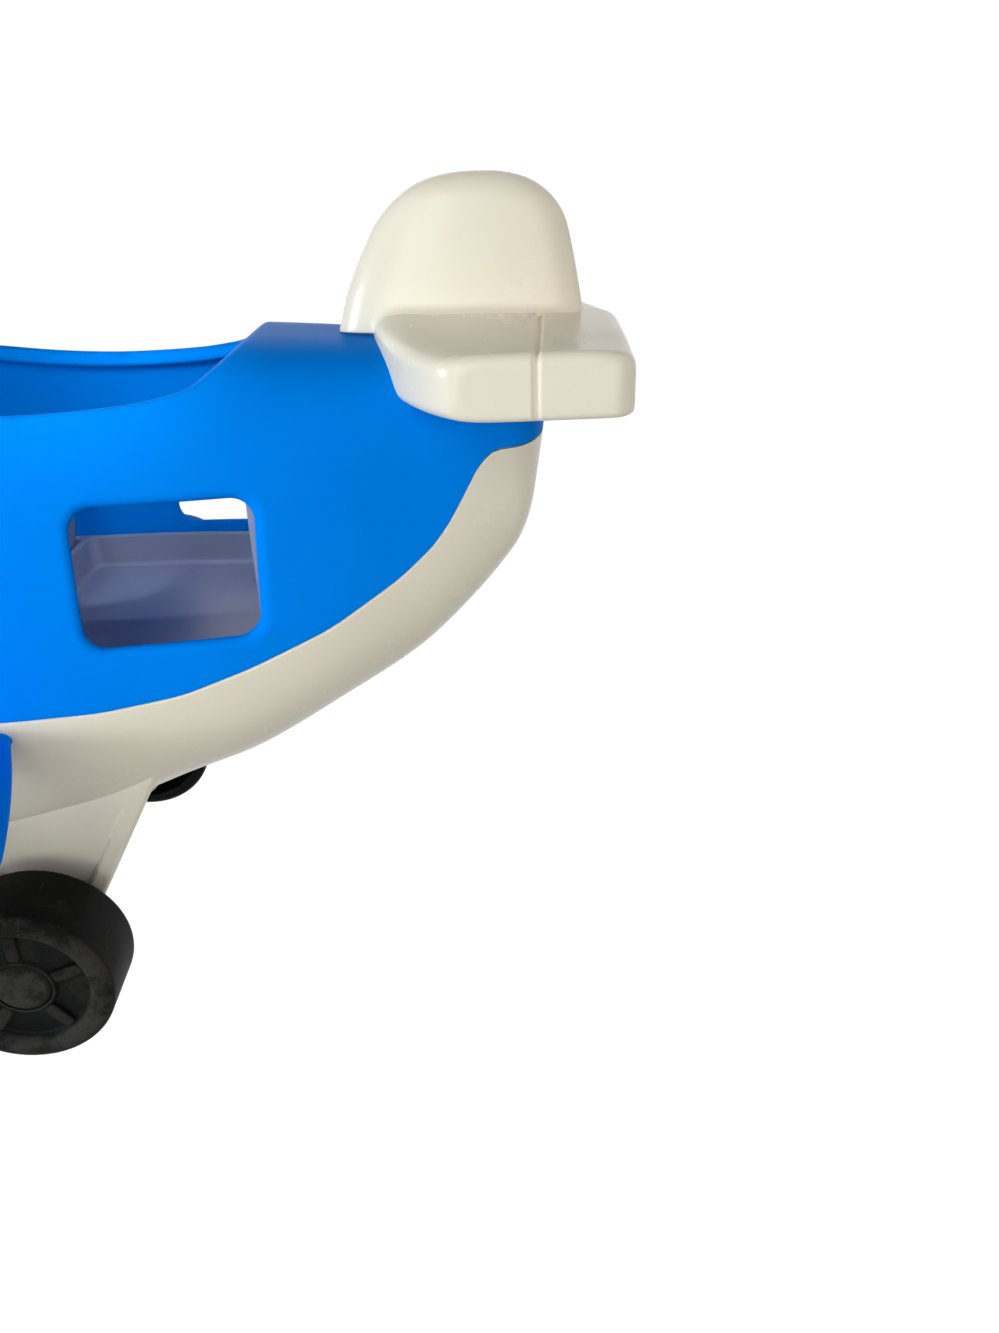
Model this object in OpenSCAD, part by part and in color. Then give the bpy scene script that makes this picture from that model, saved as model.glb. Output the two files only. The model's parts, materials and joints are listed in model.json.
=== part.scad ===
// Push-along toy jet plane with an open cabin.
// X runs to the nose, Y to the port wing and Z up. The wheels stand on Z = 0.

/* [Fuselage] */
// Where the tail end of the fuselage lies, measured aft of the origin
tail_end = 158.6; // [150:0.5:165]
// Where the nose tip lies, measured forward of the origin
nose_tip = 178; // [165:1:190]
// Widest part of the fuselage
body_w = 100; // [94:1:108]
// Belly line to the top of the spine
body_h = 130; // [124:1:138]
// Height of the belly line above the floor
belly_z = 40; // [38:1:46]
// Thickness of the moulded shells
wall = 2.4; // [1.8:0.1:3]
// Length over which the nose is rounded off
nose_round = 34; // [26:1:42]
// Length over which the tail end is rounded off
tail_round = 10; // [7:1:14]
// Height of the line where the two shells meet, along the cabin
seam_z = 88; // [84:1:92]
// Gap between the two shells at that line
seam_gap = 0.3; // [0.2:0.1:0.6]
// Height of the belly shell's locating tongue
tongue_h = 3; // [2:0.5:4]
// Where the shells end and the nose cap begins
nose_joint = 146; // [142:1:150]
// Length of the nose cap's spigot inside the shells
spigot_l = 7; // [4:1:10]

/* [Cabin opening and windows] */
// Depth of the cabin rim's lowest point below the spine
rim_drop = 12.7; // [9:0.1:17]
// Height of the rolled bead inside the rim
bead_h = 4.2; // [3:0.1:6]
// Width of the two cabin windows on each side
window_w = 39; // [32:1:42]
// Height of the cabin windows
window_h = 34; // [30:0.5:36]
// Corner radius of the windows
window_r = 5.5; // [3:0.5:8]
// Depth of the cabin windows' centre below the spine
window_drop = 48; // [45:0.5:49]
// How far the windows' lower edge stands forward of the upper edge
window_lean = 2.2; // [0:0.1:3]
// Centre of the rear window
rear_window_x = -70.5; // [-74:0.5:-66]
// Distance from the rear window to the middle one
window_pitch = 84; // [78:1:88]
// Width of the cockpit side windows
cockpit_window_w = 26; // [20:1:30]
// Height of the cockpit side windows
cockpit_window_h = 24; // [18:1:26]
// Centre of the cockpit side windows
cockpit_window_x = 99; // [96:1:102]
// Width of each pane opening of the windscreen
pane_w = 24; // [20:1:27]
// Height of the pane openings along the slope
pane_h = 21; // [16:1:24]

/* [Cabin insert] */
// Height of the cabin floor
floor_z = 92; // [91:0.5:94]
// Height of the low wall round the floor
floor_rim = 10; // [6:1:12]
// Width of the pilot's seat
pilot_seat_w = 40; // [34:1:44]
// Width of the passenger bench
bench_w = 84; // [70:1:88]
// Height of the seat cushions above the floor
cushion_h = 12; // [8:1:16]
// Height of the seat backs above the cushions
back_h = 20; // [14:1:26]
// Distance from the front to the back of a seat
seat_l = 30; // [26:1:34]

/* [Tail unit] */
// Distance between the tailplane's tips
tail_span = 104; // [96:1:112]
// Length of the fuselage that lies under the tailplane
tail_lap = 42.1; // [40:0.1:44]
// How far the tailplane stands out behind the fuselage
tail_over = 19.4; // [13:0.1:24]
// Depth of the tailplane's seat in the spine
tail_seat = 11.9; // [10:0.1:13]
// Thickness of the tailplane at its tips
tail_t = 14; // [12:0.5:17]
// Rise of the tailplane's top from the tips to the fin
tail_rise = 5.8; // [2:0.1:7]
// Height of the fin above the tailplane
fin_h = 27.8; // [19:0.1:34]
// Thickness of the fin
fin_t = 17; // [13:0.5:20]
// Depth of the groove that marks the elevator
groove = 0.7; // [0.4:0.1:1]
// Distance from that groove to the rear edge, at the tips
elevator_l = 25.8; // [20:0.1:30]
// How far the groove runs back from the tips to the fin
elevator_sweep = 6; // [0:0.5:8]
// How far the tailplane's top falls behind the fin
tail_drop = 2.8; // [0:0.1:4]

/* [Wings] */
// Distance between the wing tips
wing_span = 230; // [214:2:250]
// Thickness of the wing at the fuselage
wing_t = 12; // [10:0.5:14]
// Thickness of the wing near its tip
wing_tip_t = 8; // [7:0.5:10]
// Height of the wing at the fuselage
wing_z = 83.6; // [82.6:0.1:84]
// Rise of the wing from root to tip
wing_rise = 1; // [0:0.5:3]
// Front edge of the wing at the fuselage
wing_front = 62; // [58:1:70]
// Rear edge of the wing at the fuselage
wing_back = -24; // [-28:1:-20]
// Chord at the wing tip
tip_chord = 57; // [50:1:62]
// How far the rear edge runs back from root to tip
wing_sweep = 20.1; // [15:0.1:26]
// Length of the tongue that holds the wing in the fuselage
wing_tongue_l = 44; // [36:1:50]
// Clearance of parts that slot into each other
slip = 0.3; // [0.2:0.05:0.4]

/* [Engines] */
// Distance of each engine from the centreline
engine_y = 88; // [84:1:96]
// Height of the engine axis
engine_z = 59.5; // [56:0.5:60.5]
// Outer radius of the engine casing
engine_r = 16.5; // [14:0.5:17]
// Length of the engine casing
engine_l = 56; // [48:1:62]
// Front end of the engine casing
engine_front = 56; // [52:1:60]
// Number of fan blades
blades = 12; // [8:1:16]

/* [Main wheels] */
// Radius of the main wheels
wheel_r = 22.5; // [20:0.5:24]
// Width of the main wheels
wheel_w = 20.7; // [16:0.5:24]
// Distance from the centreline to the inner face of a main wheel
wheel_y = 47.6; // [46:0.1:50]
// Where the main axle lies along the fuselage
axle_x = -21.4; // [-26:0.2:-18]
// Radius of the steel axles
axle_r = 2; // [1.5:0.1:2.5]
// Radial running clearance of the axles
axle_fit = 0.08; // [0.04:0.01:0.1]

/* [Landing legs] */
// Length of a main leg where it meets the belly
leg_top_l = 67; // [60:1:70]
// Length of a main leg level with the axle
leg_foot_l = 20.5; // [17:0.5:24]
// Height where the main legs leave the belly
leg_top_z = 64; // [61:1:66]
// Outer face of the main legs from the centreline
leg_y = 42.5; // [40:0.5:44.5]
// Thickness of the main legs
leg_t = 11; // [9:0.5:12]
// Depth of the recess between a leg's ribs at its foot. It runs out to nothing at the top.
leg_recess = 3; // [1.5:0.1:3.6]
// Width of a leg's ribs
leg_rib = 4.6; // [3.5:0.1:6]

/* [Nose gear] */
// Where the nose wheel's axle lies along the fuselage
nose_axle_x = 118; // [110:1:122]
// Radius of the nose wheel
nose_r = 17; // [15:0.5:18]
// Width of the nose wheel
nose_w = 15; // [12:0.5:17]
// Thickness of each arm of the nose fork
fork_t = 4; // [3:0.5:5]

/* [Fasteners] */
// Radius of the screw shanks
screw_r = 1.5; // [1.2:0.1:1.7]
// Radius of the screw heads
head_r = 2.9; // [2.5:0.1:3.1]
// Radius of the screw posts
post_r = 4.4; // [4:0.1:5]

/* [Hidden] */

// Facets of round bores and pins
round_fn = 48;
// Points along the outer arc of a shell section, and sections along a shell
arc_n = 26;
station_n = 30;
// How square the upper and the lower half of a section are
upper_power = 3.7;
lower_power = 4;
body_l = tail_end + nose_tip;
tail_front = tail_end - tail_lap;
tail_back = tail_end + tail_over;

// Fuselage stations: share of the length from the tail end, share of the half width,
// share of the height for the bottom, share of the height for the top
STATIONS = [
    [0, 0.46, 0.755, 0.92], [0.0075, 0.51, 0.70, 0.925], [0.0145, 0.54, 0.628, 0.93],
    [0.032, 0.59, 0.560, 0.94], [0.060, 0.665, 0.480, 0.95], [0.101, 0.75, 0.386, 0.962],
    [0.161, 0.86, 0.295, 0.975], [0.228, 0.935, 0.200, 0.986], [0.285, 0.975, 0.148, 0.998],
    [0.352, 0.998, 0.083, 1.015], [0.46, 1, 0.024, 1.045], [0.66, 1, 0.006, 1.055],
    [0.73, 0.985, 0.016, 1.06], [0.785, 0.945, 0.036, 1.03], [0.835, 0.865, 0.066, 0.90],
    [0.90, 0.71, 0.128, 0.735], [0.95, 0.635, 0.170, 0.655], [1, 0.57, 0.205, 0.60]
];
// These tables were drawn for a fuselage of this length and height, and stretch with it
drawn_l = 336.6;
drawn_h = 130;
// The line between the shells: distance forward of the tail end, height above seam_z
SEAM = [
    [0, 55.5], [16.1, 55.2], [17.7, 53], [22.6, 44], [28.1, 35.5], [37.6, 27.5], [55, 17], [73.6, 9.4],
    [90.8, 3.8], [109.8, 1], [130.8, 0], [200, 0], [336.6, 0]
];
// The cabin rim: distance forward of the tail end, height above its lowest point
RIM = [
    [85.7, 1.7], [93.1, 0.7], [106.6, 0], [120, -0.1], [136.6, 1], [154.6, 3.2],
    [178.6, 5.6], [208.6, 8.5], [225.1, 10.6]
];
// How steeply the deck edge and the hood edge rise from the rim: forward of the rim's end, above it
DECK_EDGE = [[-6.3, 3.3], [-9.2, 5.4], [-16, 10.8], [-20, 13.2]];
HOOD_EDGE = [[6, 3.4], [9, 6.4], [12, 11], [13.5, 22]];

stretch_l = body_l / drawn_l;
stretch_h = body_h / drawn_h;
spine_z = belly_z + body_h;
rim_z = spine_z - rim_drop;
window_z = spine_z - window_drop;
rim_from = RIM[0][0] * stretch_l - tail_end;
rim_to = RIM[len(RIM) - 1][0] * stretch_l - tail_end;

// Slope of a table's column c at row i
function tangent(tab, i, c) = let (a = max(i - 1, 0), b = min(i + 1, len(tab) - 1))
    (tab[b][c] - tab[a][c]) / (tab[b][0] - tab[a][0]);
// Row of a table whose span holds x
function row_of(tab, x, i = 0) = i >= len(tab) - 2 || x < tab[i + 1][0] ? i : row_of(tab, x, i + 1);
// Smooth curve through column c of a table
function curve(tab, x, c) = let (
        i = row_of(tab, x), h = tab[i + 1][0] - tab[i][0],
        t = max(0, min(1, (x - tab[i][0]) / h)),
        p = tab[i][c], q = tab[i + 1][c], m = tangent(tab, i, c) * h, n = tangent(tab, i + 1, c) * h)
    p * (1 + 2 * t) * pow(1 - t, 2) + m * t * pow(1 - t, 2) + q * t * t * (3 - 2 * t) + n * t * t * (t - 1);
// Straight lines through column c of a table
function line_at(tab, x, c) = let (i = row_of(tab, x), t = (x - tab[i][0]) / (tab[i + 1][0] - tab[i][0]))
    tab[i][c] + (tab[i + 1][c] - tab[i][c]) * max(0, min(1, t));

// Rounds an end off: 0 at the end, 1 from r onwards
function ease(d, r, p = 2.2) = d >= r ? 1 : pow(1 - pow(1 - max(d, 0) / r, p), 1 / p);
function end_ease(x) = max(0.06, min(ease(x + tail_end, tail_round), ease(nose_tip - x, nose_round)));
function share(x) = (x + tail_end) / body_l;
function half_w(x) = body_w / 2 * curve(STATIONS, share(x), 1);
function low(x) = belly_z + body_h * curve(STATIONS, share(x), 2);
function high(x) = belly_z + body_h * curve(STATIONS, share(x), 3);
function middle(x) = (low(x) + high(x)) / 2;
function half_h(x) = (high(x) - low(x)) / 2;
function seam(x) = seam_z + stretch_h * line_at(SEAM, (x + tail_end) / stretch_l, 1);
function rim(x) = rim_z + stretch_h * curve(RIM, (x + tail_end) / stretch_l, 1);
function power(s) = s < 0 ? lower_power : upper_power;
function signed_pow(v, p) = sign(v) * pow(abs(v), p);

// Half width of the fuselage at a height, with an inset
function side_at(x, z, inset = 0) = let (s = (z - middle(x)) / ((half_h(x) - inset) * end_ease(x)))
    (half_w(x) - inset) * end_ease(x) * pow(max(0, 1 - pow(min(1, abs(s)), power(s))), 1 / power(s));
// Angle of a section where it reaches a height, kept short of the poles
function angle_at(x, z, inset, most) = let (s = (z - middle(x)) / ((half_h(x) - inset) * end_ease(x)),
        c = max(-most, min(most, s)))
    asin(signed_pow(c, power(c) / 2));
// Point of a section at an angle. An inset moves it inwards, and towards the middle at the ends.
function skin(x, a, inset) = let (e = end_ease(x), shift = inset * (1 - 2 * share(x)), p = 2 / power(sin(a)))
    [x + shift, (half_w(x) - inset) * e * signed_pow(cos(a), p),
     middle(x) + (half_h(x) - inset) * e * signed_pow(sin(a), p)];

// Stations crowd towards the tail end, where the curve is tight
function station(i, n, from, to) = let (s = i / n) from + (to - from) * (0.12 * s + 0.88 * (1 - cos(90 * s)));

// A half shell's section: outer arc, seam step, inner arc, seam step
function shell_ring(x, up) = let (
        e = end_ease(x), g = seam_gap / 2 * e, lip = tongue_h * e,
        z0 = seam(x) + (up ? g : -g), z1 = seam(x) + lip + (up ? g : -g),
        inset1 = up ? wall / 2 - slip / 2 : wall / 2 + slip / 2,
        a0 = angle_at(x, z0, 0, 0.8), a1 = angle_at(x, z0, inset1, 0.8),
        a2 = angle_at(x, z1, inset1, 0.9), a3 = angle_at(x, z1, wall, 0.9),
        turn = up ? 1 : -1,
        outer = [for (j = [0:arc_n]) skin(x, a0 + (up ? 180 - 2 * a0 : -180 - 2 * a0) * j / arc_n, 0)],
        inner = [for (j = [arc_n:-1:0]) skin(x, a3 + (up ? 180 - 2 * a3 : -180 - 2 * a3) * j / arc_n, wall)],
        port = [skin(x, a2, inset1), skin(x, a1, inset1)],
        starboard = [for (p = [port[1], port[0]]) [p[0], -p[1], p[2]]])
    concat(outer, starboard, inner, port);

// A closed skin over equal rings. Ends are lists of faces on ring 0, repeated on the last ring.
module skin_over(rings, ends, flip = false) {
    m = len(rings[0]);
    n = len(rings);
    sides = [for (i = [0:n - 2], j = [0:m - 1]) let (k = (j + 1) % m)
        each [[i * m + j, i * m + k, (i + 1) * m + k], [i * m + j, (i + 1) * m + k, (i + 1) * m + j]]];
    first = [for (f = ends[0]) [for (i = [len(f) - 1:-1:0]) f[i]]];
    last = [for (f = ends[1]) [for (v = f) v + (n - 1) * m]];
    faces = concat(sides, first, last);
    polyhedron([for (r = rings) each r], flip ? [for (f = faces) [for (i = [len(f) - 1:-1:0]) f[i]]] : faces,
        convexity = 8);
}
// Loops with one plain face at each end
module loft(rings, flip = false) {
    whole = [[for (i = [0:len(rings[0]) - 1]) i]];
    skin_over(rings, [whole, whole], flip);
}

// Faces of a half shell's section: a closed end has separate outer and inner caps
module shell_skin(up) {
    last = 2 * arc_n + 5;
    closed = [
        [for (j = [0:arc_n]) j],
        [for (j = [arc_n + 3:2 * arc_n + 3]) j],
        [0, arc_n, arc_n + 1, last],
        [last, arc_n + 1, arc_n + 2, last - 1],
        [last - 1, arc_n + 2, arc_n + 3, last - 2]
    ];
    open = concat(
        [for (j = [0:arc_n - 1]) [j, j + 1, 2 * arc_n + 2 - j, 2 * arc_n + 3 - j]],
        [[arc_n, arc_n + 1, arc_n + 2, arc_n + 3], [2 * arc_n + 3, 2 * arc_n + 4, 2 * arc_n + 5, 0]]);
    rings = [for (i = [0:station_n]) shell_ring(station(i, station_n, -tail_end, nose_joint), up)];
    skin_over(rings, [closed, open], up);
}

// Outline of a leaning window with rounded corners
function window_line(w, h, r, lean, n = 6) = [for (q = [0:3], i = [0:n]) let (
        a = 90 * q + 90 * i / n, x = (q == 0 || q == 3 ? 1 : -1) * (w / 2 - r) + r * cos(a),
        z = (q < 2 ? 1 : -1) * (h / 2 - r) + r * sin(a))
    [x - lean * z / h, z]];
// A bar across the fuselage with a window's outline
module window_bar(x, w, h, z) {
    translate([x, body_w, z]) rotate([90, 0, 0]) linear_extrude(2 * body_w)
        polygon(window_line(w, h, window_r, window_lean));
}
// Everything above an outline in the XZ plane
module above(points, reach) {
    translate([0, reach, 0]) rotate([90, 0, 0]) linear_extrude(2 * reach) polygon(points);
}

// Screw places as [x, y]: rear and front pairs of the case, and the pairs that hold the wings
CASE_AFT = [54.6 - tail_end, 17];
CASE_FORE = [nose_joint - 15, 18.5];
WING_SCREWS = [[20, 34], [44, 34]];
FLOOR_POSTS = [[-60, 26], [72, 28]];
TAIL_SCREWS = [-tail_front - 13.5, -tail_front - 31.5];
head_h = 2.2;
shank_in = 9;
screw_gap = 0.25;
tongue_t = 6;
tongue_reach = 24;
tongue_z = wing_z - tongue_t / 2;
tail_z = high(-tail_front) - tail_seat;
tail_top = tail_z + tail_t + tail_rise;
fin_top = tail_top + fin_h;
cover_z = tail_z + 1.4;
plate_t = 2.2;
deck_z = cover_z - 0.05;
floor_from = -88;
floor_to = 108;
pilot_x = 46;
bench_x = -16;
peg_r = 2.5;
pylon_l = 28;
pylon_w = 8;
nacelle_r = engine_r - 2.2;
pylon_top = wing_z - 1.6;
wheel_recess = 2.6;
cap_r = 7;
cap_t = 1.8;

// Radius of a fillet r at a distance d from its edge
function fillet(d, r) = d >= r ? 0 : r - sqrt(r * r - pow(r - max(d, 0), 2));

module rod(r, z0, z1) {
    translate([0, 0, z0]) cylinder(r = r, h = z1 - z0, $fn = round_fn);
}
module both_sides() {
    children();
    mirror([0, 1, 0]) children();
}
// A pan-head screw pointing up, its head's top face at z
module screw(x, y, z, reach) {
    translate([x, y, z]) {
        rod(screw_r, -0.1, reach);
        rod(head_r, -head_h, 0);
    }
}
// Outer skin below and above a place in plan
function bulge(x, y, p) = half_h(x) * pow(1 - pow(y / half_w(x), p), 1 / p);
function skin_low(x, y) = middle(x) - bulge(x, y, lower_power);
function skin_high(x, y) = middle(x) + bulge(x, y, upper_power);
function case_head_z(p) = seam(p[0]) - 8;
// A round post from the belly up to z, or from the roof down to z. Its end follows the skin.
module floor_post(p, z) {
    skin_z = skin_low(p[0], p[1]);
    slope_x = (skin_low(p[0] + 4, p[1]) - skin_low(p[0] - 4, p[1])) / 8;
    slope_y = (skin_low(p[0], p[1] + 4) - skin_low(p[0], p[1] - 4)) / 8;
    translate([p[0], p[1], 0]) difference() {
        rod(post_r, skin_z - 12, z);
        translate([0, 0, skin_z + wall * 0.6]) rotate([atan(slope_y), -atan(slope_x), 0])
            translate([-15, -15, -30]) cube(30);
    }
}
module roof_post(p, z) {
    skin_z = skin_high(p[0], p[1]);
    slope_x = (skin_high(p[0] + 4, p[1]) - skin_high(p[0] - 4, p[1])) / 8;
    slope_y = (skin_high(p[0], p[1] + 4) - skin_high(p[0], p[1] - 4)) / 8;
    translate([p[0], p[1], 0]) difference() {
        rod(post_r, z, skin_z + 12);
        translate([0, 0, skin_z - wall * 0.6]) rotate([atan(slope_y), -atan(slope_x), 0])
            translate([-15, -15, 0]) cube(30);
    }
}

// Plan outline of the fuselage at a height, from x0 to x1, with an inset
function plan(x0, x1, z, inset, n = 12) = let (
        edge = [for (i = [0:n]) let (x = x0 + (x1 - x0) * i / n) [x, side_at(x, z, inset)]])
    concat(edge, [for (i = [n:-1:0]) [edge[i][0], -edge[i][1]]]);
// Cross section of the fuselage as [y, z], between two heights, with an inset
function cross(x, z0, z1, inset, n = 10) = let (
        edge = [for (i = [0:n]) let (z = z0 + (z1 - z0) * i / n) [side_at(x, z, inset), z]])
    concat(edge, [for (i = [n:-1:0]) [-edge[i][0], edge[i][1]]]);
module wall_across(x0, x1, points) {
    translate([x0, 0, 0]) rotate([90, 0, 90]) linear_extrude(x1 - x0) polygon(points);
}

module cabin_cut() {
    steps = 18;
    line = [for (i = [0:steps]) let (x = rim_from + (rim_to - rim_from) * i / steps) [x, rim(x)]];
    aft = [for (i = [len(DECK_EDGE) - 1:-1:0])
        [rim_from + DECK_EDGE[i][0] * stretch_l, rim(rim_from) + DECK_EDGE[i][1] * stretch_h]];
    fore = [for (p = HOOD_EDGE) [rim_to + p[0] * stretch_l, rim(rim_to) + p[1] * stretch_h]];
    top = spine_z + body_h / 2;
    above(concat([[aft[0][0], top]], aft, line, fore, [[fore[len(fore) - 1][0], top]]), body_w);
}
// Room for the tail unit: everything above the deck, behind the tailplane's front surface
module tail_seat_cut() {
    steps = 12;
    reach = body_w * 0.6;
    zs = concat([for (d = [0, 0.8, 2, 3.6, 6, 9]) deck_z + d], [fin_top + 60]);
    loft([for (z = zs) concat([for (i = [0:steps]) let (y = reach * (2 * i / steps - 1))
        [tail_nose(min(abs(y), tail_span / 2 - 0.2), z) + slip, y, z]],
        [[-tail_back - 9, reach, z], [-tail_back - 9, -reach, z]])], true);
}
module windows_cut() {
    for (i = [0, 1]) window_bar(rear_window_x + i * window_pitch, window_w, window_h, window_z);
    window_bar(cockpit_window_x, cockpit_window_w, cockpit_window_h, window_z + 12);
    slope = atan2(high(120) - high(100), 20);
    for (side = [-1, 1])
        translate([110, side * (pane_w / 2 + 2.5), high(110) - 8]) rotate([0, -slope, 0])
            linear_extrude(30) polygon(window_line(pane_h, pane_w, window_r, 0));
}
// The bead that thickens the rim on the inside
module rim_bead() {
    n = 14;
    rings = [for (i = [0:n]) let (x = rim_from - 10 + (rim_to - rim_from + 16) * i / n, z = rim(x) - bead_h)
        [[x, side_at(x, z, wall / 2), z], [x, side_at(x, z + bead_h + 6, wall / 2), z + bead_h + 6],
         [x, side_at(x, z + bead_h + 6, wall) - 2, z + bead_h + 6], [x, side_at(x, z, wall) - 1, z]]];
    both_sides() loft(rings, true);
}

module upper_shell() {
    color("dodgerblue") difference() {
        union() {
            shell_skin(true);
            rim_bead();
            translate([0, 0, deck_z - wall]) linear_extrude(wall)
                polygon(plan(-tail_end + 3.5, -tail_front + 7, deck_z, wall / 2));
            for (p = [CASE_AFT, CASE_FORE]) both_sides() roof_post(p, seam(p[0]) + seam_gap / 2);
        }
        cabin_cut();
        tail_seat_cut();
        windows_cut();
        for (p = [CASE_AFT, CASE_FORE]) both_sides()
            translate([p[0], p[1], 0]) rod(screw_r, seam(p[0]) - 1, seam(p[0]) + shank_in + 2);
        for (x = TAIL_SCREWS) translate([x, 0, 0]) rod(screw_r + screw_gap, deck_z - wall - 2, deck_z + 2);
    }
}

module leg_outline() {
    foot = [for (a = [200:20:340]) [leg_foot_l / 2 * cos(a) * 0.97, wheel_r + leg_foot_l / 2 * 0.9 * sin(a)]];
    translate([axle_x, 0]) polygon(concat(
        [[-leg_top_l / 2 + 3, leg_top_z + 5], [-leg_top_l / 2, leg_top_z], [-leg_foot_l / 2, wheel_r]], foot,
        [[leg_foot_l / 2, wheel_r], [leg_top_l / 2, leg_top_z], [leg_top_l / 2 - 3, leg_top_z + 5]]));
}
// Half length of a leg at a height
function leg_half(z) = leg_foot_l / 2 + (leg_top_l - leg_foot_l) / 2 * (z - wheel_r) / (leg_top_z - wheel_r);
function leg_panel(z0, z1, edge) = [[-leg_half(z1) + edge, z1], [-leg_half(z0) + edge, z0],
    [leg_half(z0) - edge, z0], [leg_half(z1) - edge, z1]];
// One main leg: tapered panel, recessed between its ribs outside and hollow inside
module main_leg() {
    recess_top = leg_top_z - 5;
    recess_foot = wheel_r + 8;
    pocket_top = skin_low(axle_x, leg_y - leg_t) - 3;
    boss = wheel_y - slip;
    difference() {
        translate([0, leg_y, 0]) rotate([90, 0, 0]) linear_extrude(leg_t) leg_outline();
        lean = atan2(leg_recess, recess_top - recess_foot);
        translate([axle_x, leg_y, recess_top]) rotate([90 - lean, 0, 0])
            translate([0, -recess_top, -10]) linear_extrude(10) polygon(leg_panel(recess_foot, recess_top, leg_rib));
        translate([axle_x, leg_y - leg_recess - wall, 0]) rotate([90, 0, 0]) linear_extrude(leg_t)
            polygon(leg_panel(recess_foot - 1, pocket_top, wall + 0.6));
    }
    translate([axle_x, boss, wheel_r]) rotate([90, 0, 0])
        cylinder(r = axle_r + 4, h = boss - leg_y + leg_t, $fn = round_fn);
}
module nose_fork_arm() {
    top = low(nose_axle_x) + wall;
    y = nose_w / 2 + 0.8;
    foot = [for (a = [200:20:340]) [6.5 * cos(a), nose_r + 6.5 * sin(a)]];
    translate([nose_axle_x, y + fork_t, 0]) rotate([90, 0, 0]) linear_extrude(fork_t)
        polygon(concat([[-13, top], [-6.5, nose_r]], foot, [[6.5, nose_r], [11, top]]));
    translate([nose_axle_x, y, nose_r]) rotate([90, 0, 0]) cylinder(r = 4.2, h = 0.5, $fn = round_fn);
}
module wing_slot() {
    translate([wing_mid() - wing_tongue_l / 2 - slip, half_w(0) - tongue_reach, tongue_z - slip])
        cube([wing_tongue_l + 2 * slip, tongue_reach + 6, seam_z + tongue_h + 4 - tongue_z]);
}
function wing_mid() = (WING_SCREWS[0][0] + WING_SCREWS[1][0]) / 2;

module belly_shell() {
    color("ivory") difference() {
        union() {
            shell_skin(false);
            both_sides() {
                main_leg();
                nose_fork_arm();
                for (p = [CASE_AFT, CASE_FORE]) floor_post(p, seam(p[0]) - seam_gap / 2);
                for (p = WING_SCREWS) floor_post(p, tongue_z - 0.1);
                for (p = FLOOR_POSTS) floor_post(p, floor_z - plate_t);
            }
        }
        both_sides() {
            wing_slot();
            for (p = [CASE_AFT, CASE_FORE]) translate([p[0], p[1], 0]) {
                rod(head_r + slip, low(p[0]) - 30, case_head_z(p));
                rod(screw_r + screw_gap, case_head_z(p) - 1, seam(p[0]) + 3);
            }
            for (p = WING_SCREWS) translate([p[0], p[1], 0]) {
                rod(head_r + slip, belly_z - 10, tongue_z - 10);
                rod(screw_r + screw_gap, tongue_z - 11, tongue_z + 1);
            }
        }
        translate([axle_x, body_w, wheel_r]) rotate([90, 0, 0])
            cylinder(r = axle_r + axle_fit, h = 2 * body_w, $fn = round_fn);
        translate([nose_axle_x, body_w, nose_r]) rotate([90, 0, 0])
            cylinder(r = axle_r, h = 2 * body_w, $fn = round_fn);
    }
}

module nose_cap() {
    n = 12;
    m = 36;
    x0 = nose_joint + slip;
    rings = [for (i = [0:n]) let (x = x0 + (nose_tip - x0) * sin(90 * i / n))
        [for (j = [0:m - 1]) let (p = skin(x, 360 * j / m, 0)) [x, p[1], p[2]]]];
    inset = wall + slip + 0.9;
    color("white") difference() {
        union() {
            loft(rings, true);
            wall_across(nose_joint - spigot_l, x0 + 1, cross(nose_joint, low(nose_joint) + inset + 1,
                high(nose_joint) - inset - 1, inset));
        }
        translate([nose_joint - spigot_l - 1, 0, middle(nose_joint)]) rotate([0, 90, 0])
            cylinder(r1 = body_w * 0.27, r2 = body_w * 0.15, h = spigot_l + nose_round * 0.56,
                $fn = round_fn);
    }
}

// A tray with a low wall round it and another one behind the bench, and the cabin's back wall
module cabin_floor() {
    inset = wall + slip + 0.2;
    foot = floor_z - plate_t;
    back = floor_from - plate_t;
    color("lavender") difference() {
        union() {
            difference() {
                translate([0, 0, foot]) linear_extrude(plate_t + floor_rim)
                    polygon(plan(floor_from, floor_to, foot, inset, 24));
                for (room = [[floor_from + 2, bench_x - 4.2], [bench_x - 2.2, floor_to - 2]])
                    translate([0, 0, floor_z]) linear_extrude(floor_rim + 1)
                        polygon(plan(room[0], room[1], foot, inset + 2, 24));
            }
            wall_across(back, floor_from, cross(back, foot, high(back) - wall - slip - 0.4, inset, 24));
        }
        for (p = seat_pegs()) translate([p[0], p[1], 0]) rod(peg_r + 0.1, floor_z - plate_t - 1, floor_z + 1);
    }
}
function seat_pegs() = [[pilot_x + 10, 0], [pilot_x + 22, 0], [bench_x + 14, 30], [bench_x + 14, -30]];

// A moulded seat: side profile with a leaning back, and a round well for each figure
well_r = min(10.5, seat_l / 2 - 4.5);
well_d = 4;
module seat(x, w, wells, pegs) {
    lean = 4;
    top = floor_z + cushion_h;
    profile = [[x, floor_z], [x + seat_l, floor_z], [x + seat_l, top - 2], [x + seat_l - 2, top],
        [x + 6, top], [x + 4.5 - lean * 0.7, top + back_h - 2.5], [x + 2.5 - lean, top + back_h],
        [x - lean + 0.5, top + back_h], [x - lean - 1, top + back_h - 1.5]];
    difference() {
        translate([0, w / 2, 0]) rotate([90, 0, 0]) linear_extrude(w) polygon(profile);
        for (y = wells) translate([x + seat_l / 2 + 1.6, y, 0]) rod(well_r, top - well_d, top + 1);
    }
    for (p = pegs) translate([p[0], p[1], 0]) rod(peg_r, floor_z - plate_t, floor_z + 1);
}
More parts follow.
